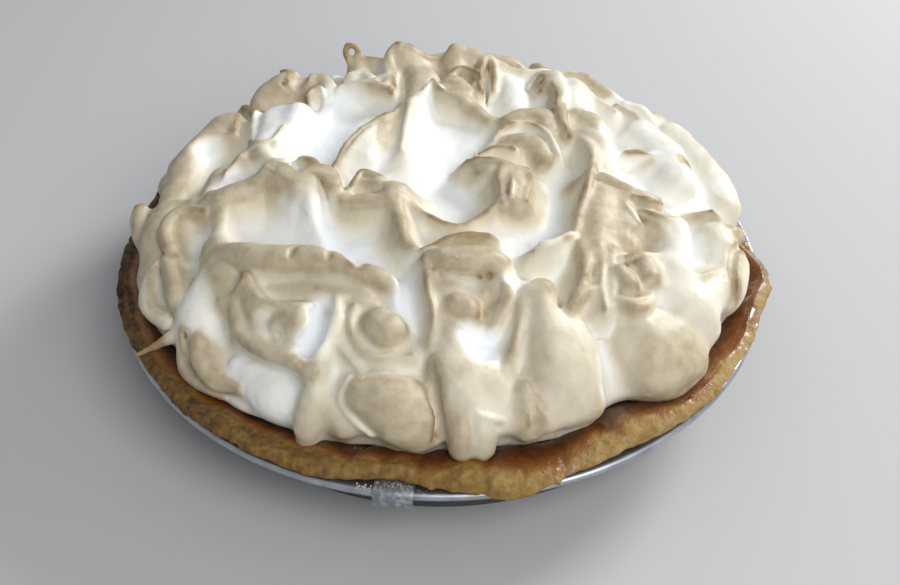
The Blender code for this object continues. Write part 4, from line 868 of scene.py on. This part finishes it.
def crossing_cells(distance):
    """Cells of the grid that the surface passes through, and their numbers on a grid."""
    inside = distance < 0
    count = np.zeros([size - 1 for size in inside.shape], dtype=np.int8)
    for i, j, k in np.ndindex(2, 2, 2):
        count += inside[i:i + count.shape[0], j:j + count.shape[1], k:k + count.shape[2]]
    cells = np.argwhere((count > 0) & (count < 8))
    number = np.full(count.shape, -1, dtype=np.int32)
    number[tuple(cells.T)] = np.arange(len(cells))
    return inside, cells, number


def skin(axes, distance):
    """Points and quads of the surface of distance zero: one point in each cell it crosses."""
    inside, cells, number = crossing_cells(distance)
    total = np.zeros((len(cells), 3))
    crossings = np.zeros(len(cells))
    for corner in np.ndindex(2, 2, 2):
        start = distance[tuple((cells + corner).T)]
        for axis in range(3):
            if corner[axis]:
                continue
            step = np.eye(3, dtype=int)[axis]
            end = distance[tuple((cells + corner + step).T)]
            crosses = (start < 0) != (end < 0)
            part = np.where(crosses, start / np.where(crosses, start - end, 1.0), 0.0)
            total += np.where(crosses[:, None], corner + part[:, None] * step, 0.0)
            crossings += crosses
    points = (cells + total / crossings[:, None]) * CELL + [axis[0] for axis in axes]
    quads = []
    for axis in range(3):
        near, far = [slice(1, -1)] * 3, [slice(1, -1)] * 3
        near[axis], far[axis] = slice(0, -1), slice(1, None)
        starts_inside, ends_inside = inside[tuple(near)], inside[tuple(far)]
        edges = np.argwhere(starts_inside != ends_inside)
        outward = starts_inside[tuple(edges.T)] != (axis == 1)
        edges = edges + 1 - np.eye(3, dtype=int)[axis]
        one, two = np.delete(np.eye(3, dtype=int), axis, axis=0)
        around = [edges - one - two, edges - two, edges, edges - one]
        faces = np.stack([number[tuple(corner.T)] for corner in around], axis=1)
        faces[~outward] = faces[~outward][:, ::-1]
        quads.append(faces)
    return points, np.concatenate(quads)


def box_blur(values, half_width):
    """Mean over a cube of cells around each cell."""
    for axis in range(3):
        ends = [(half_width + 1, half_width) if other == axis else (0, 0) for other in range(3)]
        total = np.pad(values, ends, mode="edge").cumsum(axis=axis, dtype=np.float64)
        width = 2 * half_width + 1
        size = values.shape[axis]
        high = np.take(total, np.arange(width, width + size), axis=axis)
        low = np.take(total, np.arange(size), axis=axis)
        values = ((high - low) / width).astype(np.float32)
    return values


def read_grid(axes, values, points):
    """Values of a grid at points between its corners."""
    place = (points - [axis[0] for axis in axes]) / CELL
    cell = np.clip(np.floor(place).astype(int), 0, np.array(values.shape) - 2)
    part = np.clip(place - cell, 0.0, 1.0)
    total = np.zeros(len(points))
    for corner in np.ndindex(2, 2, 2):
        share = np.where(corner, part, 1 - part).prod(axis=1)
        total += share * values[tuple((cell + corner).T)]
    return total


def trim_underside(points, quads):
    """The skin without its flat underside, closed by one face along the foot."""
    mesh = new_mesh("meringue_skin", points, quads.tolist())
    level = (UNDERSIDE + 0.3 * CELL) * MM
    shape = bmesh.new()
    shape.from_mesh(mesh)
    flat = [face for face in shape.faces if max(vert.co.z for vert in face.verts) < level]
    bmesh.ops.delete(shape, geom=flat, context="FACES")
    rim = [edge for edge in shape.edges if edge.is_boundary]
    bmesh.ops.contextual_create(shape, geom=rim)
    shape.to_mesh(mesh)
    shape.free()
    return mesh


def mesh_points(mesh):
    """The mesh's points in millimetres, and its normals there."""
    points = np.empty(len(mesh.vertices) * 3, dtype=np.float32)
    normals = np.empty(len(mesh.vertices) * 3, dtype=np.float32)
    mesh.vertices.foreach_get("co", points)
    mesh.vertex_normals.foreach_get("vector", normals)
    return points.reshape(-1, 3) / MM, normals.reshape(-1, 3)


def toast_and_shade(axes, distance, tone, points):
    """How brown the meringue is at points: its strokes' tone, most where they stand out or fold, with painted
    shade in sharp folds and in tones above 1.
    """
    solid = (distance < 0).astype(np.float32)
    near, far, fold = (0.5 - read_grid(axes, box_blur(solid, round(reach / CELL)), points)
                       for reach in (NEAR_REACH, FAR_REACH, FOLD_REACH))
    sharpness = smooth_rise(np.abs(fold), *FOLD_SHARPNESS)
    standing = BASE_TOAST + NEAR_WEIGHT * near + FAR_WEIGHT * far
    shade = read_grid(axes, tone, points)
    surface = np.clip(shade * (standing + uneven(points, TOAST_PATCHES)), 0.0, MOST_SURFACE_TOAST)
    return np.clip(surface + FOLD_TOAST_AND_SHADE * sharpness * shade, 0.0, 1.0)


def make_meringue():
    """The worked heap's skin, made uneven, then thinned to the number of faces allowed."""
    axes, distance, tone = work_heap()
    mesh = trim_underside(*skin(axes, distance))
    points, normals = mesh_points(mesh)
    # Toasting, with painted shade in folds and in strokes of tone above 1.
    add_attribute(mesh, "toast_and_shade", toast_and_shade(axes, distance, tone, points))
    shift = uneven_shift(points, FOAM_SHIFTS) + normals * uneven(points, FOAM_LUMPS)[:, None]
    free = smooth_rise(points[:, 2], CRUST_BED + 0.6, CRUST_BED + 4.0)
    points = points + shift * free[:, None]
    points[:, 2] = np.minimum(points[:, 2], HEAP_HIGH[2] - HEAP_GAP)
    mesh.vertices.foreach_set("co", (points * MM).ravel())
    mesh.update()
    piece = add_piece(mesh, meringue_look(), "meringue")
    thin = piece.modifiers.new("thin", "DECIMATE")
    triangles = sum(len(face.vertices) - 2 for face in mesh.polygons)
    thin.ratio = min(1.0, MOST_FACES / triangles)


# --- Crust ------------------------------------------------------------------------------

def crust_edge(azimuth):
    """Radius of the crust's outer edge about the tin's axis."""
    return CRUST_EDGE + swell(azimuth, EDGE_SWELLS)


def crust_inner(azimuth):
    """Radius at which the raised edge starts, at the meringue's foot."""
    angle = np.radians(azimuth)
    foot = dome_foot(azimuth)
    reach = np.hypot(foot * np.cos(angle) + DOME_CENTRE[0], foot * np.sin(angle) + DOME_CENTRE[1])
    return np.minimum(reach + CRUST_START, crust_edge(azimuth) - CRUST_WIDTH)


def seam_step(azimuth):
    """Extra thickness of the dough that overlaps at each seam: sudden, then fading away."""
    total = 0.0
    for middle, width, step in SEAMS:
        past = degrees_past(azimuth, middle)
        fade = np.exp(-np.maximum(past, 0) / SEAM_FADE)
        total = total + step * smooth_rise(past, -width, width) * fade
    return total


def crust_sections():
    """The smooth crust: sections by steps by three, from under its lip over it to its bed."""
    azimuth = np.arange(CRUST_STEPS) * 360.0 / CRUST_STEPS
    ring = np.stack([np.cos(np.radians(azimuth)), np.sin(np.radians(azimuth))], axis=1)
    around = np.column_stack([ring * EDGE_WAVES_RADIUS, ring[:, 0]])
    tears = TEAR_REACH * smooth_rise(uneven(around, EDGE_TEARS), 0.5, 0.9)
    seams = seam_step(azimuth)
    edge = crust_edge(azimuth) + uneven(around, EDGE_WAVES) + tears + SEAM_OUT * seams
    inner = crust_inner(azimuth)
    crest = CRUST_CREST + swell(azimuth, CREST_SWELLS) + seams
    droop = FLAP_DROP * swell(azimuth, [(FLAP_AZIMUTH, FLAP_HALF_WIDTH, 1.0)])
    under = np.full(CRUST_STEPS, BEAD_TOP + LIP_LIFT)
    lip = edge - 0.8
    lip = np.where(droop > 0.8, np.maximum(lip, np.minimum(edge, TIN_RADIUS + 0.6)), lip)
    bed = np.full(CRUST_STEPS, CRUST_BED)
    rows = [
        (np.minimum(edge, TIN_RADIUS + 0.5) - 1.2, under),   # underside, over the bead
        (lip, under - droop),
        (edge, under + LIP_THICKNESS - droop * 0.8),         # outermost
        (edge - 0.9, crest - LIP_THICKNESS - droop * 0.4),
        (edge - SHOULDER, crest - 0.2),                      # level top
        ((edge + inner) / 2 + 0.6, crest - 0.6),
        (inner + 2.4, bed + CRUST_RISE + 0.9),               # inner slope
        (inner, bed + CRUST_RISE),
        (inner - 2.5, bed),                                  # bed under the meringue
        (inner - 8.0, bed),
    ]
    section = smooth_curve(np.array(rows))
    radius, height = section[:, 0].T, section[:, 1].T
    return np.stack([radius * ring[:, :1], radius * ring[:, 1:], height], axis=2)


def knuckle(points):
    """1 on the middle of each knuckle of the edge, falling to 0 in the grooves between them."""
    rest = np.arange(FRONT_GROOVES[-1] + GROOVE_STEP, FRONT_GROOVES[0] + 360.0 - 4.0, GROOVE_STEP)
    rest += GROOVE_SWAY * np.sin(2.4 * np.arange(len(rest)))
    grooves = np.concatenate([FRONT_GROOVES, rest, [FRONT_GROOVES[0] + 360.0]])
    outwards = np.hypot(points[:, 0], points[:, 1]) - GROOVE_MIDDLE
    azimuth = azimuth_of(points) + GROOVE_SLANT * outwards + uneven(points, GROOVE_WAVES)
    azimuth = (azimuth - grooves[0]) % 360.0 + grooves[0]
    index = np.clip(np.searchsorted(grooves, azimuth) - 1, 0, len(grooves) - 2)
    along = (azimuth - grooves[index]) / (grooves[index + 1] - grooves[index])
    return 1.0 - np.abs(2.0 * along - 1.0) ** 3


def roughen(points):
    """Knuckles, lumps, crumbs and pits on the crust, all fading out where it meets the tin."""
    flat = points.reshape(-1, 3)
    dry = 1.0 - smooth_rise(syrup_soak(flat), 0.1, 0.5)
    front = np.exp(-((azimuth_of(flat) % 360.0 - KNUCKLES_AZIMUTH) / KNUCKLES_HALF_WIDTH) ** 4)
    knuckles = KNUCKLE_HEIGHT * (0.15 + 0.85 * front) * (knuckle(flat) - 0.8)
    pits = PIT_DEPTH * smooth_rise(uneven(flat, CRUST_PITS), 0.45, 0.85)
    raised = smooth_rise(flat[:, 2], BEAD_TOP + 1.4, BEAD_TOP + 3.2)
    shift = knuckles + uneven(flat, CRUST_LUMPS) + (uneven(flat, CRUST_GRIT) - pits) * dry
    shift *= 0.25 + 0.75 * raised
    return points + grid_normals(points) * shift.reshape(points.shape[:2])[:, :, None]


def syrup_soak(points):
    """How far the syrup has soaked the crust at each point, from 0 to 1."""
    azimuth = azimuth_of(points) % 360.0
    out = np.hypot(points[:, 0], points[:, 1]) - crust_inner(azimuth)
    reach = (SOAK_REACH + swell(azimuth, SOAK_SWELLS)) * (1.0 + uneven(points, SOAK_WAVES))
    return np.clip(1.0 - out / np.maximum(reach, 0.5), 0.0, 1.0)


def make_crust():
    """Baked pastry, with the hidden filling under it closed off as one plain solid."""
    shown = roughen(crust_sections())
    start = shown[:, 0]
    outwards = start * [1.0, 1.0, 0.0] / np.hypot(start[:, :1], start[:, 1:2])
    floor = outwards * (TIN_BASE_RADIUS - FILLING_CORNER) + [0, 0, TIN_METAL + FILLING_GAP]
    flange = outwards * (TIN_WALL_RADIUS - FILLING_GAP) + [0, 0, BEAD_TOP + LIP_LIFT]
    points = np.concatenate([np.stack([floor, flange], axis=1), shown], axis=1)
    length = points.shape[1]
    faces = ring_faces(CRUST_STEPS, length)
    faces.append([turn * length for turn in reversed(range(CRUST_STEPS))])
    faces.append([turn * length + length - 1 for turn in range(CRUST_STEPS)])
    flat = points.reshape(-1, 3)
    flat[:, :2] = np.clip(flat[:, :2], CRUST_LOW[:2], CRUST_HIGH[:2])
    mesh = new_mesh("crust_baked", flat, faces)
    add_attribute(mesh, "soak", syrup_soak(flat))
    # Painted light and shade: the crust is made lighter towards the light and darker away from it.
    add_attribute(mesh, "pale", flat @ LIT_SIDE / CRUST_EDGE)
    add_piece(mesh, crust_look(), "crust")


# --- Syrup ------------------------------------------------------------------------------

def make_syrup():
    """Syrup that wept out under the meringue: a wet film that thins out up the crust."""
    surface = roughen(crust_sections())[:, SYRUP_FIRST_STEP:]
    flat = surface.reshape(-1, 3)
    soak = syrup_soak(flat)
    depth = SYRUP_DEPTH * (soak - SYRUP_SHORE) + uneven(flat, SYRUP_RIPPLES)
    level = flat + grid_normals(surface).reshape(-1, 3) * depth[:, None]
    faces = []
    for face in ring_faces(CRUST_STEPS, surface.shape[1]):
        if max(depth[corner] for corner in face) > -SYRUP_SUNK:
            faces.append(face)
    mesh = new_mesh("syrup_film", level, faces)
    add_attribute(mesh, "depth", soak)
    shape = bmesh.new()
    shape.from_mesh(mesh)
    loose = [vert for vert in shape.verts if not vert.link_faces]
    bmesh.ops.delete(shape, geom=loose, context="VERTS")
    shape.to_mesh(mesh)
    shape.free()
    piece = add_piece(mesh, syrup_look())
    thicken = piece.modifiers.new("thickness", "SOLIDIFY")
    thicken.thickness = SYRUP_SKIN * MM
    thicken.offset = -1.0


# --- Tin and tab ------------------------------------------------------------------------

def arc(centre, radius, start, end, steps):
    """Points of an arc in a section, from one angle to another in degrees."""
    points = []
    for angle in np.radians(np.linspace(start, end, steps + 1)):
        points.append((centre[0] + radius * math.cos(angle), centre[1] + radius * math.sin(angle)))
    return points


def profile_mesh(name, section):
    """A line of edges in the XZ plane through (radius, height) points in millimetres."""
    points = np.array([(radius, 0.0, height) for radius, height in section])
    mesh = bpy.data.meshes.new(name)
    mesh.from_pydata((points * MM).tolist(), [(i, i + 1) for i in range(len(section) - 1)], [])
    return mesh


def make_tin():
    """The pan, turned round the pie's axis, with a rolled bead on its flange."""
    inside = [
        (0.0, TIN_METAL),
        (TIN_BASE_RADIUS - TIN_CORNER, TIN_METAL),
        (TIN_BASE_RADIUS - 2.4, TIN_METAL + 0.3),
        (TIN_BASE_RADIUS - 0.9, TIN_METAL + 1.3),
        (TIN_WALL_RADIUS - 0.3, FLANGE_LEVEL - 0.5),
        (TIN_WALL_RADIUS + 0.6, FLANGE_LEVEL),
    ]
    over_bead = arc(BEAD_CENTRE, BEAD_RADIUS, 110.0, -150.0, 16)
    outside = [
        (TIN_WALL_RADIUS + 1.6, FLANGE_LEVEL - TIN_METAL),
        (TIN_WALL_RADIUS + 0.5, FLANGE_LEVEL - 1.6),
        (TIN_BASE_RADIUS, 1.6),
        (TIN_BASE_RADIUS - 1.4, 0.4),
        (TIN_BASE_RADIUS - TIN_CORNER, 0.0),
        (0.0, 0.0),
    ]
    mesh = profile_mesh("tin_pan", inside + over_bead + outside)
    # The bead gets the bright tints of a painted highlight.
    add_attribute(mesh, "bead_highlight", [0.0] * len(inside) + [1.0] * len(over_bead) + [0.0] * len(outside))
    mesh.shade_smooth()
    pan = add_piece(mesh, tin_look(), "tin")
    turn = pan.modifiers.new("turn", "SCREW")
    turn.steps = TIN_STEPS
    turn.render_steps = TIN_STEPS
    turn.use_merge_vertices = True
    turn.merge_threshold = 0.01 * MM


def make_tab():
    """A strip that lies on the flange, bends over the bead and hangs down outside it."""
    lift = TAB_GAP + TAB_METAL / 2
    hanging = TIN_RADIUS + lift + 0.1
    route = [(TAB_START, FLANGE_LEVEL + lift), (TAB_BEND, FLANGE_LEVEL + lift)]
    route += arc(BEAD_CENTRE, BEAD_RADIUS + lift, 100.0, 0.0, 12)
    route += [(hanging, TAB_LOW[2] + TAB_HANG), (hanging, TAB_LOW[2])]
    mesh = profile_mesh("tab_strip", route)
    shape = bmesh.new()
    shape.from_mesh(mesh)
    bmesh.ops.translate(shape, verts=shape.verts, vec=(0.0, -TAB_WIDTH / 2 * MM, 0.0))
    grown = bmesh.ops.extrude_edge_only(shape, edges=shape.edges)
    moved = [part for part in grown["geom"] if isinstance(part, bmesh.types.BMVert)]
    bmesh.ops.translate(shape, verts=moved, vec=(0.0, TAB_WIDTH * MM, 0.0))
    bmesh.ops.recalc_face_normals(shape, faces=shape.faces)
    turn = Matrix.Rotation(math.radians(TAB_AZIMUTH), 4, "Z")
    bmesh.ops.transform(shape, matrix=turn, verts=shape.verts)
    shape.to_mesh(mesh)
    shape.free()
    mesh.shade_smooth()
    strip = add_piece(mesh, tab_look(), "rim_tab")
    thicken = strip.modifiers.new("thickness", "SOLIDIFY")
    thicken.thickness = TAB_METAL * MM
    thicken.offset = 0.0
    soften = strip.modifiers.new("edges", "BEVEL")
    soften.width = TAB_ROUNDING * MM
    soften.segments = 2
    soften.limit_method = "ANGLE"


# --- Crumbs -----------------------------------------------------------------------------

def crumb_ball():
    """Points and triangles of a small ball."""
    shape = bmesh.new()
    bmesh.ops.create_icosphere(shape, subdivisions=2, radius=1.0)
    points = np.array([vert.co for vert in shape.verts])
    faces = np.array([[vert.index for vert in face.verts] for face in shape.faces])
    shape.free()
    return points, faces


def scatter(name, patches, finish, seed):
    """Irregular crumbs joined into one mesh.

    Each patch is (azimuth, half width in degrees, radius, half width, height, count, size).
    """
    random = np.random.default_rng(seed)
    ball, triangles = crumb_ball()
    points, faces = [], []
    for azimuth, spread, radius, width, height, count, size in patches:
        for _ in range(count):
            angle = math.radians(azimuth + spread * random.uniform(-1, 1))
            ring = radius + width * random.uniform(-1, 1)
            half = size / 2 * random.uniform(0.5, 1.25)
            middle = np.array([ring * math.cos(angle), ring * math.sin(angle), height + half * 0.4])
            lumpy = ball * (1.0 + 0.45 * noise(ball + middle, 0.8, seed))[:, None]
            faces.append(triangles + len(ball) * len(points))
            points.append(middle + lumpy * half * random.uniform(0.6, 1.2, 3))
    mesh = new_mesh(name, np.concatenate(points), np.concatenate(faces).tolist())
    add_piece(mesh, finish)


# --- Looks ------------------------------------------------------------------------------

def new_look(name, roughness, metallic=0.0):
    """A Principled material: its node tree and its shader."""
    look = bpy.data.materials.new(name)
    look.use_nodes = True
    tree = look.node_tree
    shader = tree.nodes["Principled BSDF"]
    shader.inputs["Roughness"].default_value = roughness
    shader.inputs["Metallic"].default_value = metallic
    return look, tree, shader


def colour(red, green, blue):
    """Linear colour of a screen colour given from 0 to 255."""
    screen = np.array([red, green, blue]) / 255
    linear = np.where(screen < 0.04045, screen / 12.92, ((screen + 0.055) / 1.055) ** 2.4)
    return (*linear.tolist(), 1.0)


def read_attribute(tree, name):
    """Output socket with a number stored on the mesh."""
    node = tree.nodes.new("ShaderNodeAttribute")
    node.attribute_name = name
    return node.outputs["Fac"]


def grain(tree, size, detail=3.0):
    """Output socket with noise from 0 to 1, its bumps about size millimetres across."""
    place = tree.nodes.new("ShaderNodeTexCoord")
    node = tree.nodes.new("ShaderNodeTexNoise")
    node.inputs["Scale"].default_value = 1.0 / (size * MM)
    node.inputs["Detail"].default_value = detail
    tree.links.new(place.outputs["Object"], node.inputs["Vector"])
    return node.outputs["Fac"]


def combine(tree, operation, first, second, third=None, clamp=False):
    """Output socket of a calculation on sockets or numbers, kept from 0 to 1 if clamped."""
    node = tree.nodes.new("ShaderNodeMath")
    node.operation = operation
    node.use_clamp = clamp
    for index, value in enumerate((first, second, third)):
        if value is None:
            continue
        if isinstance(value, (int, float)):
            node.inputs[index].default_value = value
        else:
            tree.links.new(value, node.inputs[index])
    return node.outputs["Value"]


def ramp(tree, value, stops):
    """Output socket with the colour that a value picks from (position, colour) stops."""
    node = tree.nodes.new("ShaderNodeValToRGB")
    elements = node.color_ramp.elements
    while len(elements) < len(stops):
        elements.new(0.5)
    for element, (position, tint) in zip(elements, stops):
        element.position = position
        element.color = colour(*tint)
    tree.links.new(value, node.inputs["Fac"])
    return node.outputs["Color"]


def blend(tree, share, first, second):
    """Output socket with a colour between two others."""
    node = tree.nodes.new("ShaderNodeMix")
    node.data_type = "RGBA"
    tree.links.new(share, node.inputs["Factor"])
    tree.links.new(first, node.inputs["A"])
    tree.links.new(second, node.inputs["B"])
    return node.outputs["Result"]


def bump(tree, shader, heights):
    """Relief from (height socket, depth in millimetres) pairs."""
    last = None
    for height, depth in heights:
        node = tree.nodes.new("ShaderNodeBump")
        node.inputs["Strength"].default_value = 1.0
        node.inputs["Distance"].default_value = depth * MM
        tree.links.new(height, node.inputs["Height"])
        if last:
            tree.links.new(last, node.inputs["Normal"])
        last = node.outputs["Normal"]
    tree.links.new(last, shader.inputs["Normal"])


def meringue_look():
    """White foam, toasted cream to tan where it stands out, with painted shade in folds and hollows."""
    look, tree, shader = new_look("meringue_toasted", 0.5)
    # The stored value holds toasting and painted shade.
    toasted = read_attribute(tree, "toast_and_shade")
    mottle = combine(tree, "MULTIPLY_ADD", grain(tree, 4.0), 0.30, -0.15)
    toasted = combine(tree, "ADD", toasted, combine(tree, "MULTIPLY", mottle, toasted), clamp=True)
    tint = ramp(tree, toasted, MERINGUE_TINTS)
    tree.links.new(tint, shader.inputs["Base Color"])
    shader.inputs["Subsurface Weight"].default_value = 0.12
    shader.inputs["Subsurface Radius"].default_value = (1.0, 0.75, 0.5)
    shader.inputs["Subsurface Scale"].default_value = 2.5 * MM
    bump(tree, shader, [(grain(tree, 1.4), 0.08), (grain(tree, 5.0), 0.22)])
    return look


def crust_look():
    """Golden pastry, browner in places, lighter towards the light and darker away from it with painted shade,
    and dark and wet where syrup has soaked in.
    """
    look, tree, shader = new_look("crust_pastry", 0.7)
    spots = combine(tree, "MULTIPLY_ADD", grain(tree, 2.4, 5.0), 1.0, -0.32)
    # Painted light and shade: lighter on the lit side, darker on the far side.
    spots = combine(tree, "MULTIPLY_ADD", read_attribute(tree, "pale"), 0.45, spots)
    baked = ramp(tree, combine(tree, "MULTIPLY_ADD", grain(tree, 9.0), 0.6, spots), CRUST_TINTS)
    soak = read_attribute(tree, "soak")
    mottle = combine(tree, "MULTIPLY_ADD", grain(tree, 4.0), 0.3, -0.15)
    soaked = ramp(tree, combine(tree, "ADD", soak, mottle, clamp=True), SYRUP_TINTS)
    share = combine(tree, "MULTIPLY_ADD", soak, 3.0, mottle, clamp=True)
    tree.links.new(blend(tree, share, baked, soaked), shader.inputs["Base Color"])
    tree.links.new(combine(tree, "MULTIPLY_ADD", share, -0.45, 0.75), shader.inputs["Roughness"])
    wet = combine(tree, "MULTIPLY_ADD", grain(tree, 5.0), 4.0, -1.7, clamp=True)
    tree.links.new(combine(tree, "MULTIPLY", wet, share), shader.inputs["Coat Weight"])
    shader.inputs["Coat IOR"].default_value = 1.58
    shader.inputs["Coat Roughness"].default_value = 0.08
    bump(tree, shader, [(grain(tree, 0.8), 0.3), (grain(tree, 2.6), 0.7)])
    return look


def syrup_look():
    """Clear syrup over pastry: amber where it is thin and dark brown where it lies deep."""
    look, tree, shader = new_look("syrup", 0.1)
    mottle = combine(tree, "MULTIPLY_ADD", grain(tree, 3.0), 0.5, -0.25)
    deep = combine(tree, "ADD", read_attribute(tree, "depth"), mottle, clamp=True)
    tree.links.new(ramp(tree, deep, SYRUP_TINTS), shader.inputs["Base Color"])
    shader.inputs["Specular IOR Level"].default_value = 0.0
    shader.inputs["Coat Weight"].default_value = 1.0
    shader.inputs["Coat IOR"].default_value = 1.5
    shader.inputs["Coat Roughness"].default_value = 0.05
    bump(tree, shader, [(grain(tree, 2.5), 0.5)])
    return look


def tin_look():
    """Dull, worn metal, with a painted dark reflection on the wall and a painted bright highlight on the
    bead.
    """
    look, tree, shader = new_look("tin_worn", 0.35, 0.9)
    wear = grain(tree, 9.0, 6.0)
    bead_highlight = read_attribute(tree, "bead_highlight")
    tint = blend(tree, bead_highlight, ramp(tree, wear, WALL_TINTS), ramp(tree, wear, BEAD_TINTS))
    tree.links.new(tint, shader.inputs["Base Color"])
    rough = combine(tree, "MULTIPLY_ADD", grain(tree, 3.0, 5.0), 0.3, 0.25)
    tree.links.new(rough, shader.inputs["Roughness"])
    return look


def tab_look():
    """The same metal, dusted with flour."""
    look, tree, shader = new_look("tab_worn", 0.45, 0.6)
    tree.links.new(ramp(tree, grain(tree, 1.6, 4.0), TAB_TINTS), shader.inputs["Base Color"])
    return look


def crumb_look(name, tints):
    """Dry crumbs of uneven colour."""
    look, tree, shader = new_look(name, 0.8)
    tree.links.new(ramp(tree, grain(tree, 1.5), tints), shader.inputs["Base Color"])
    return look


# --- Stage ------------------------------------------------------------------------------

def area_light(name, place, size, power, tint=(1.0, 1.0, 1.0)):
    """A square light that faces the pie."""
    lamp = bpy.data.lights.new(name, "AREA")
    lamp.size = size
    lamp.energy = power
    lamp.color = tint
    light = bpy.data.objects.new(name, lamp)
    light.location = place
    light.rotation_euler = (PIE_MIDDLE - Vector(place)).to_track_quat("-Z", "Y").to_euler()
    bpy.context.scene.collection.objects.link(light)


def make_stage():
    """Pale floor, soft light from the back right, and the camera."""
    scene = bpy.context.scene
    mesh = bpy.data.meshes.new("floor")
    half = FLOOR_SIZE / 2
    corners = [(-half, -half, 0), (half, -half, 0), (half, half, 0), (-half, half, 0)]
    mesh.from_pydata(corners, [], [(0, 1, 2, 3)])
    look, _, shader = new_look("floor_matt", 0.9)
    shader.inputs["Base Color"].default_value = FLOOR_TINT
    mesh.materials.append(look)
    floor = bpy.data.objects.new("floor", mesh)
    scene.collection.objects.link(floor)
    area_light("key", KEY_PLACE, KEY_SIZE, KEY_POWER, KEY_TINT)
    area_light("fill", FILL_PLACE, FILL_SIZE, FILL_POWER)
    world = bpy.data.worlds.new("room")
    world.use_nodes = True
    room = world.node_tree.nodes["Background"]
    room.inputs["Color"].default_value = ROOM_TINT
    room.inputs["Strength"].default_value = ROOM_STRENGTH
    scene.world = world
    lens = bpy.data.cameras.new("camera")
    lens.lens = LENS
    lens.sensor_width = SENSOR_WIDTH
    camera = bpy.data.objects.new("camera", lens)
    camera.location = CAMERA_PLACE
    camera.rotation_euler = (math.radians(90.0 - CAMERA_DOWN), 0.0, 0.0)
    scene.collection.objects.link(camera)
    scene.camera = camera
    scene.view_settings.view_transform = "Standard"


make_tin()
make_tab()
make_crust()
make_meringue()
make_syrup()
scatter("pastry_crumbs", PASTRY_CRUMBS, crumb_look("crumb_pastry", CRUMB_TINTS), CRUMB_SEED)
scatter("meringue_flecks", MERINGUE_FLECKS, crumb_look("crumb_meringue", FLECK_TINTS),
        FLECK_SEED)
make_stage()
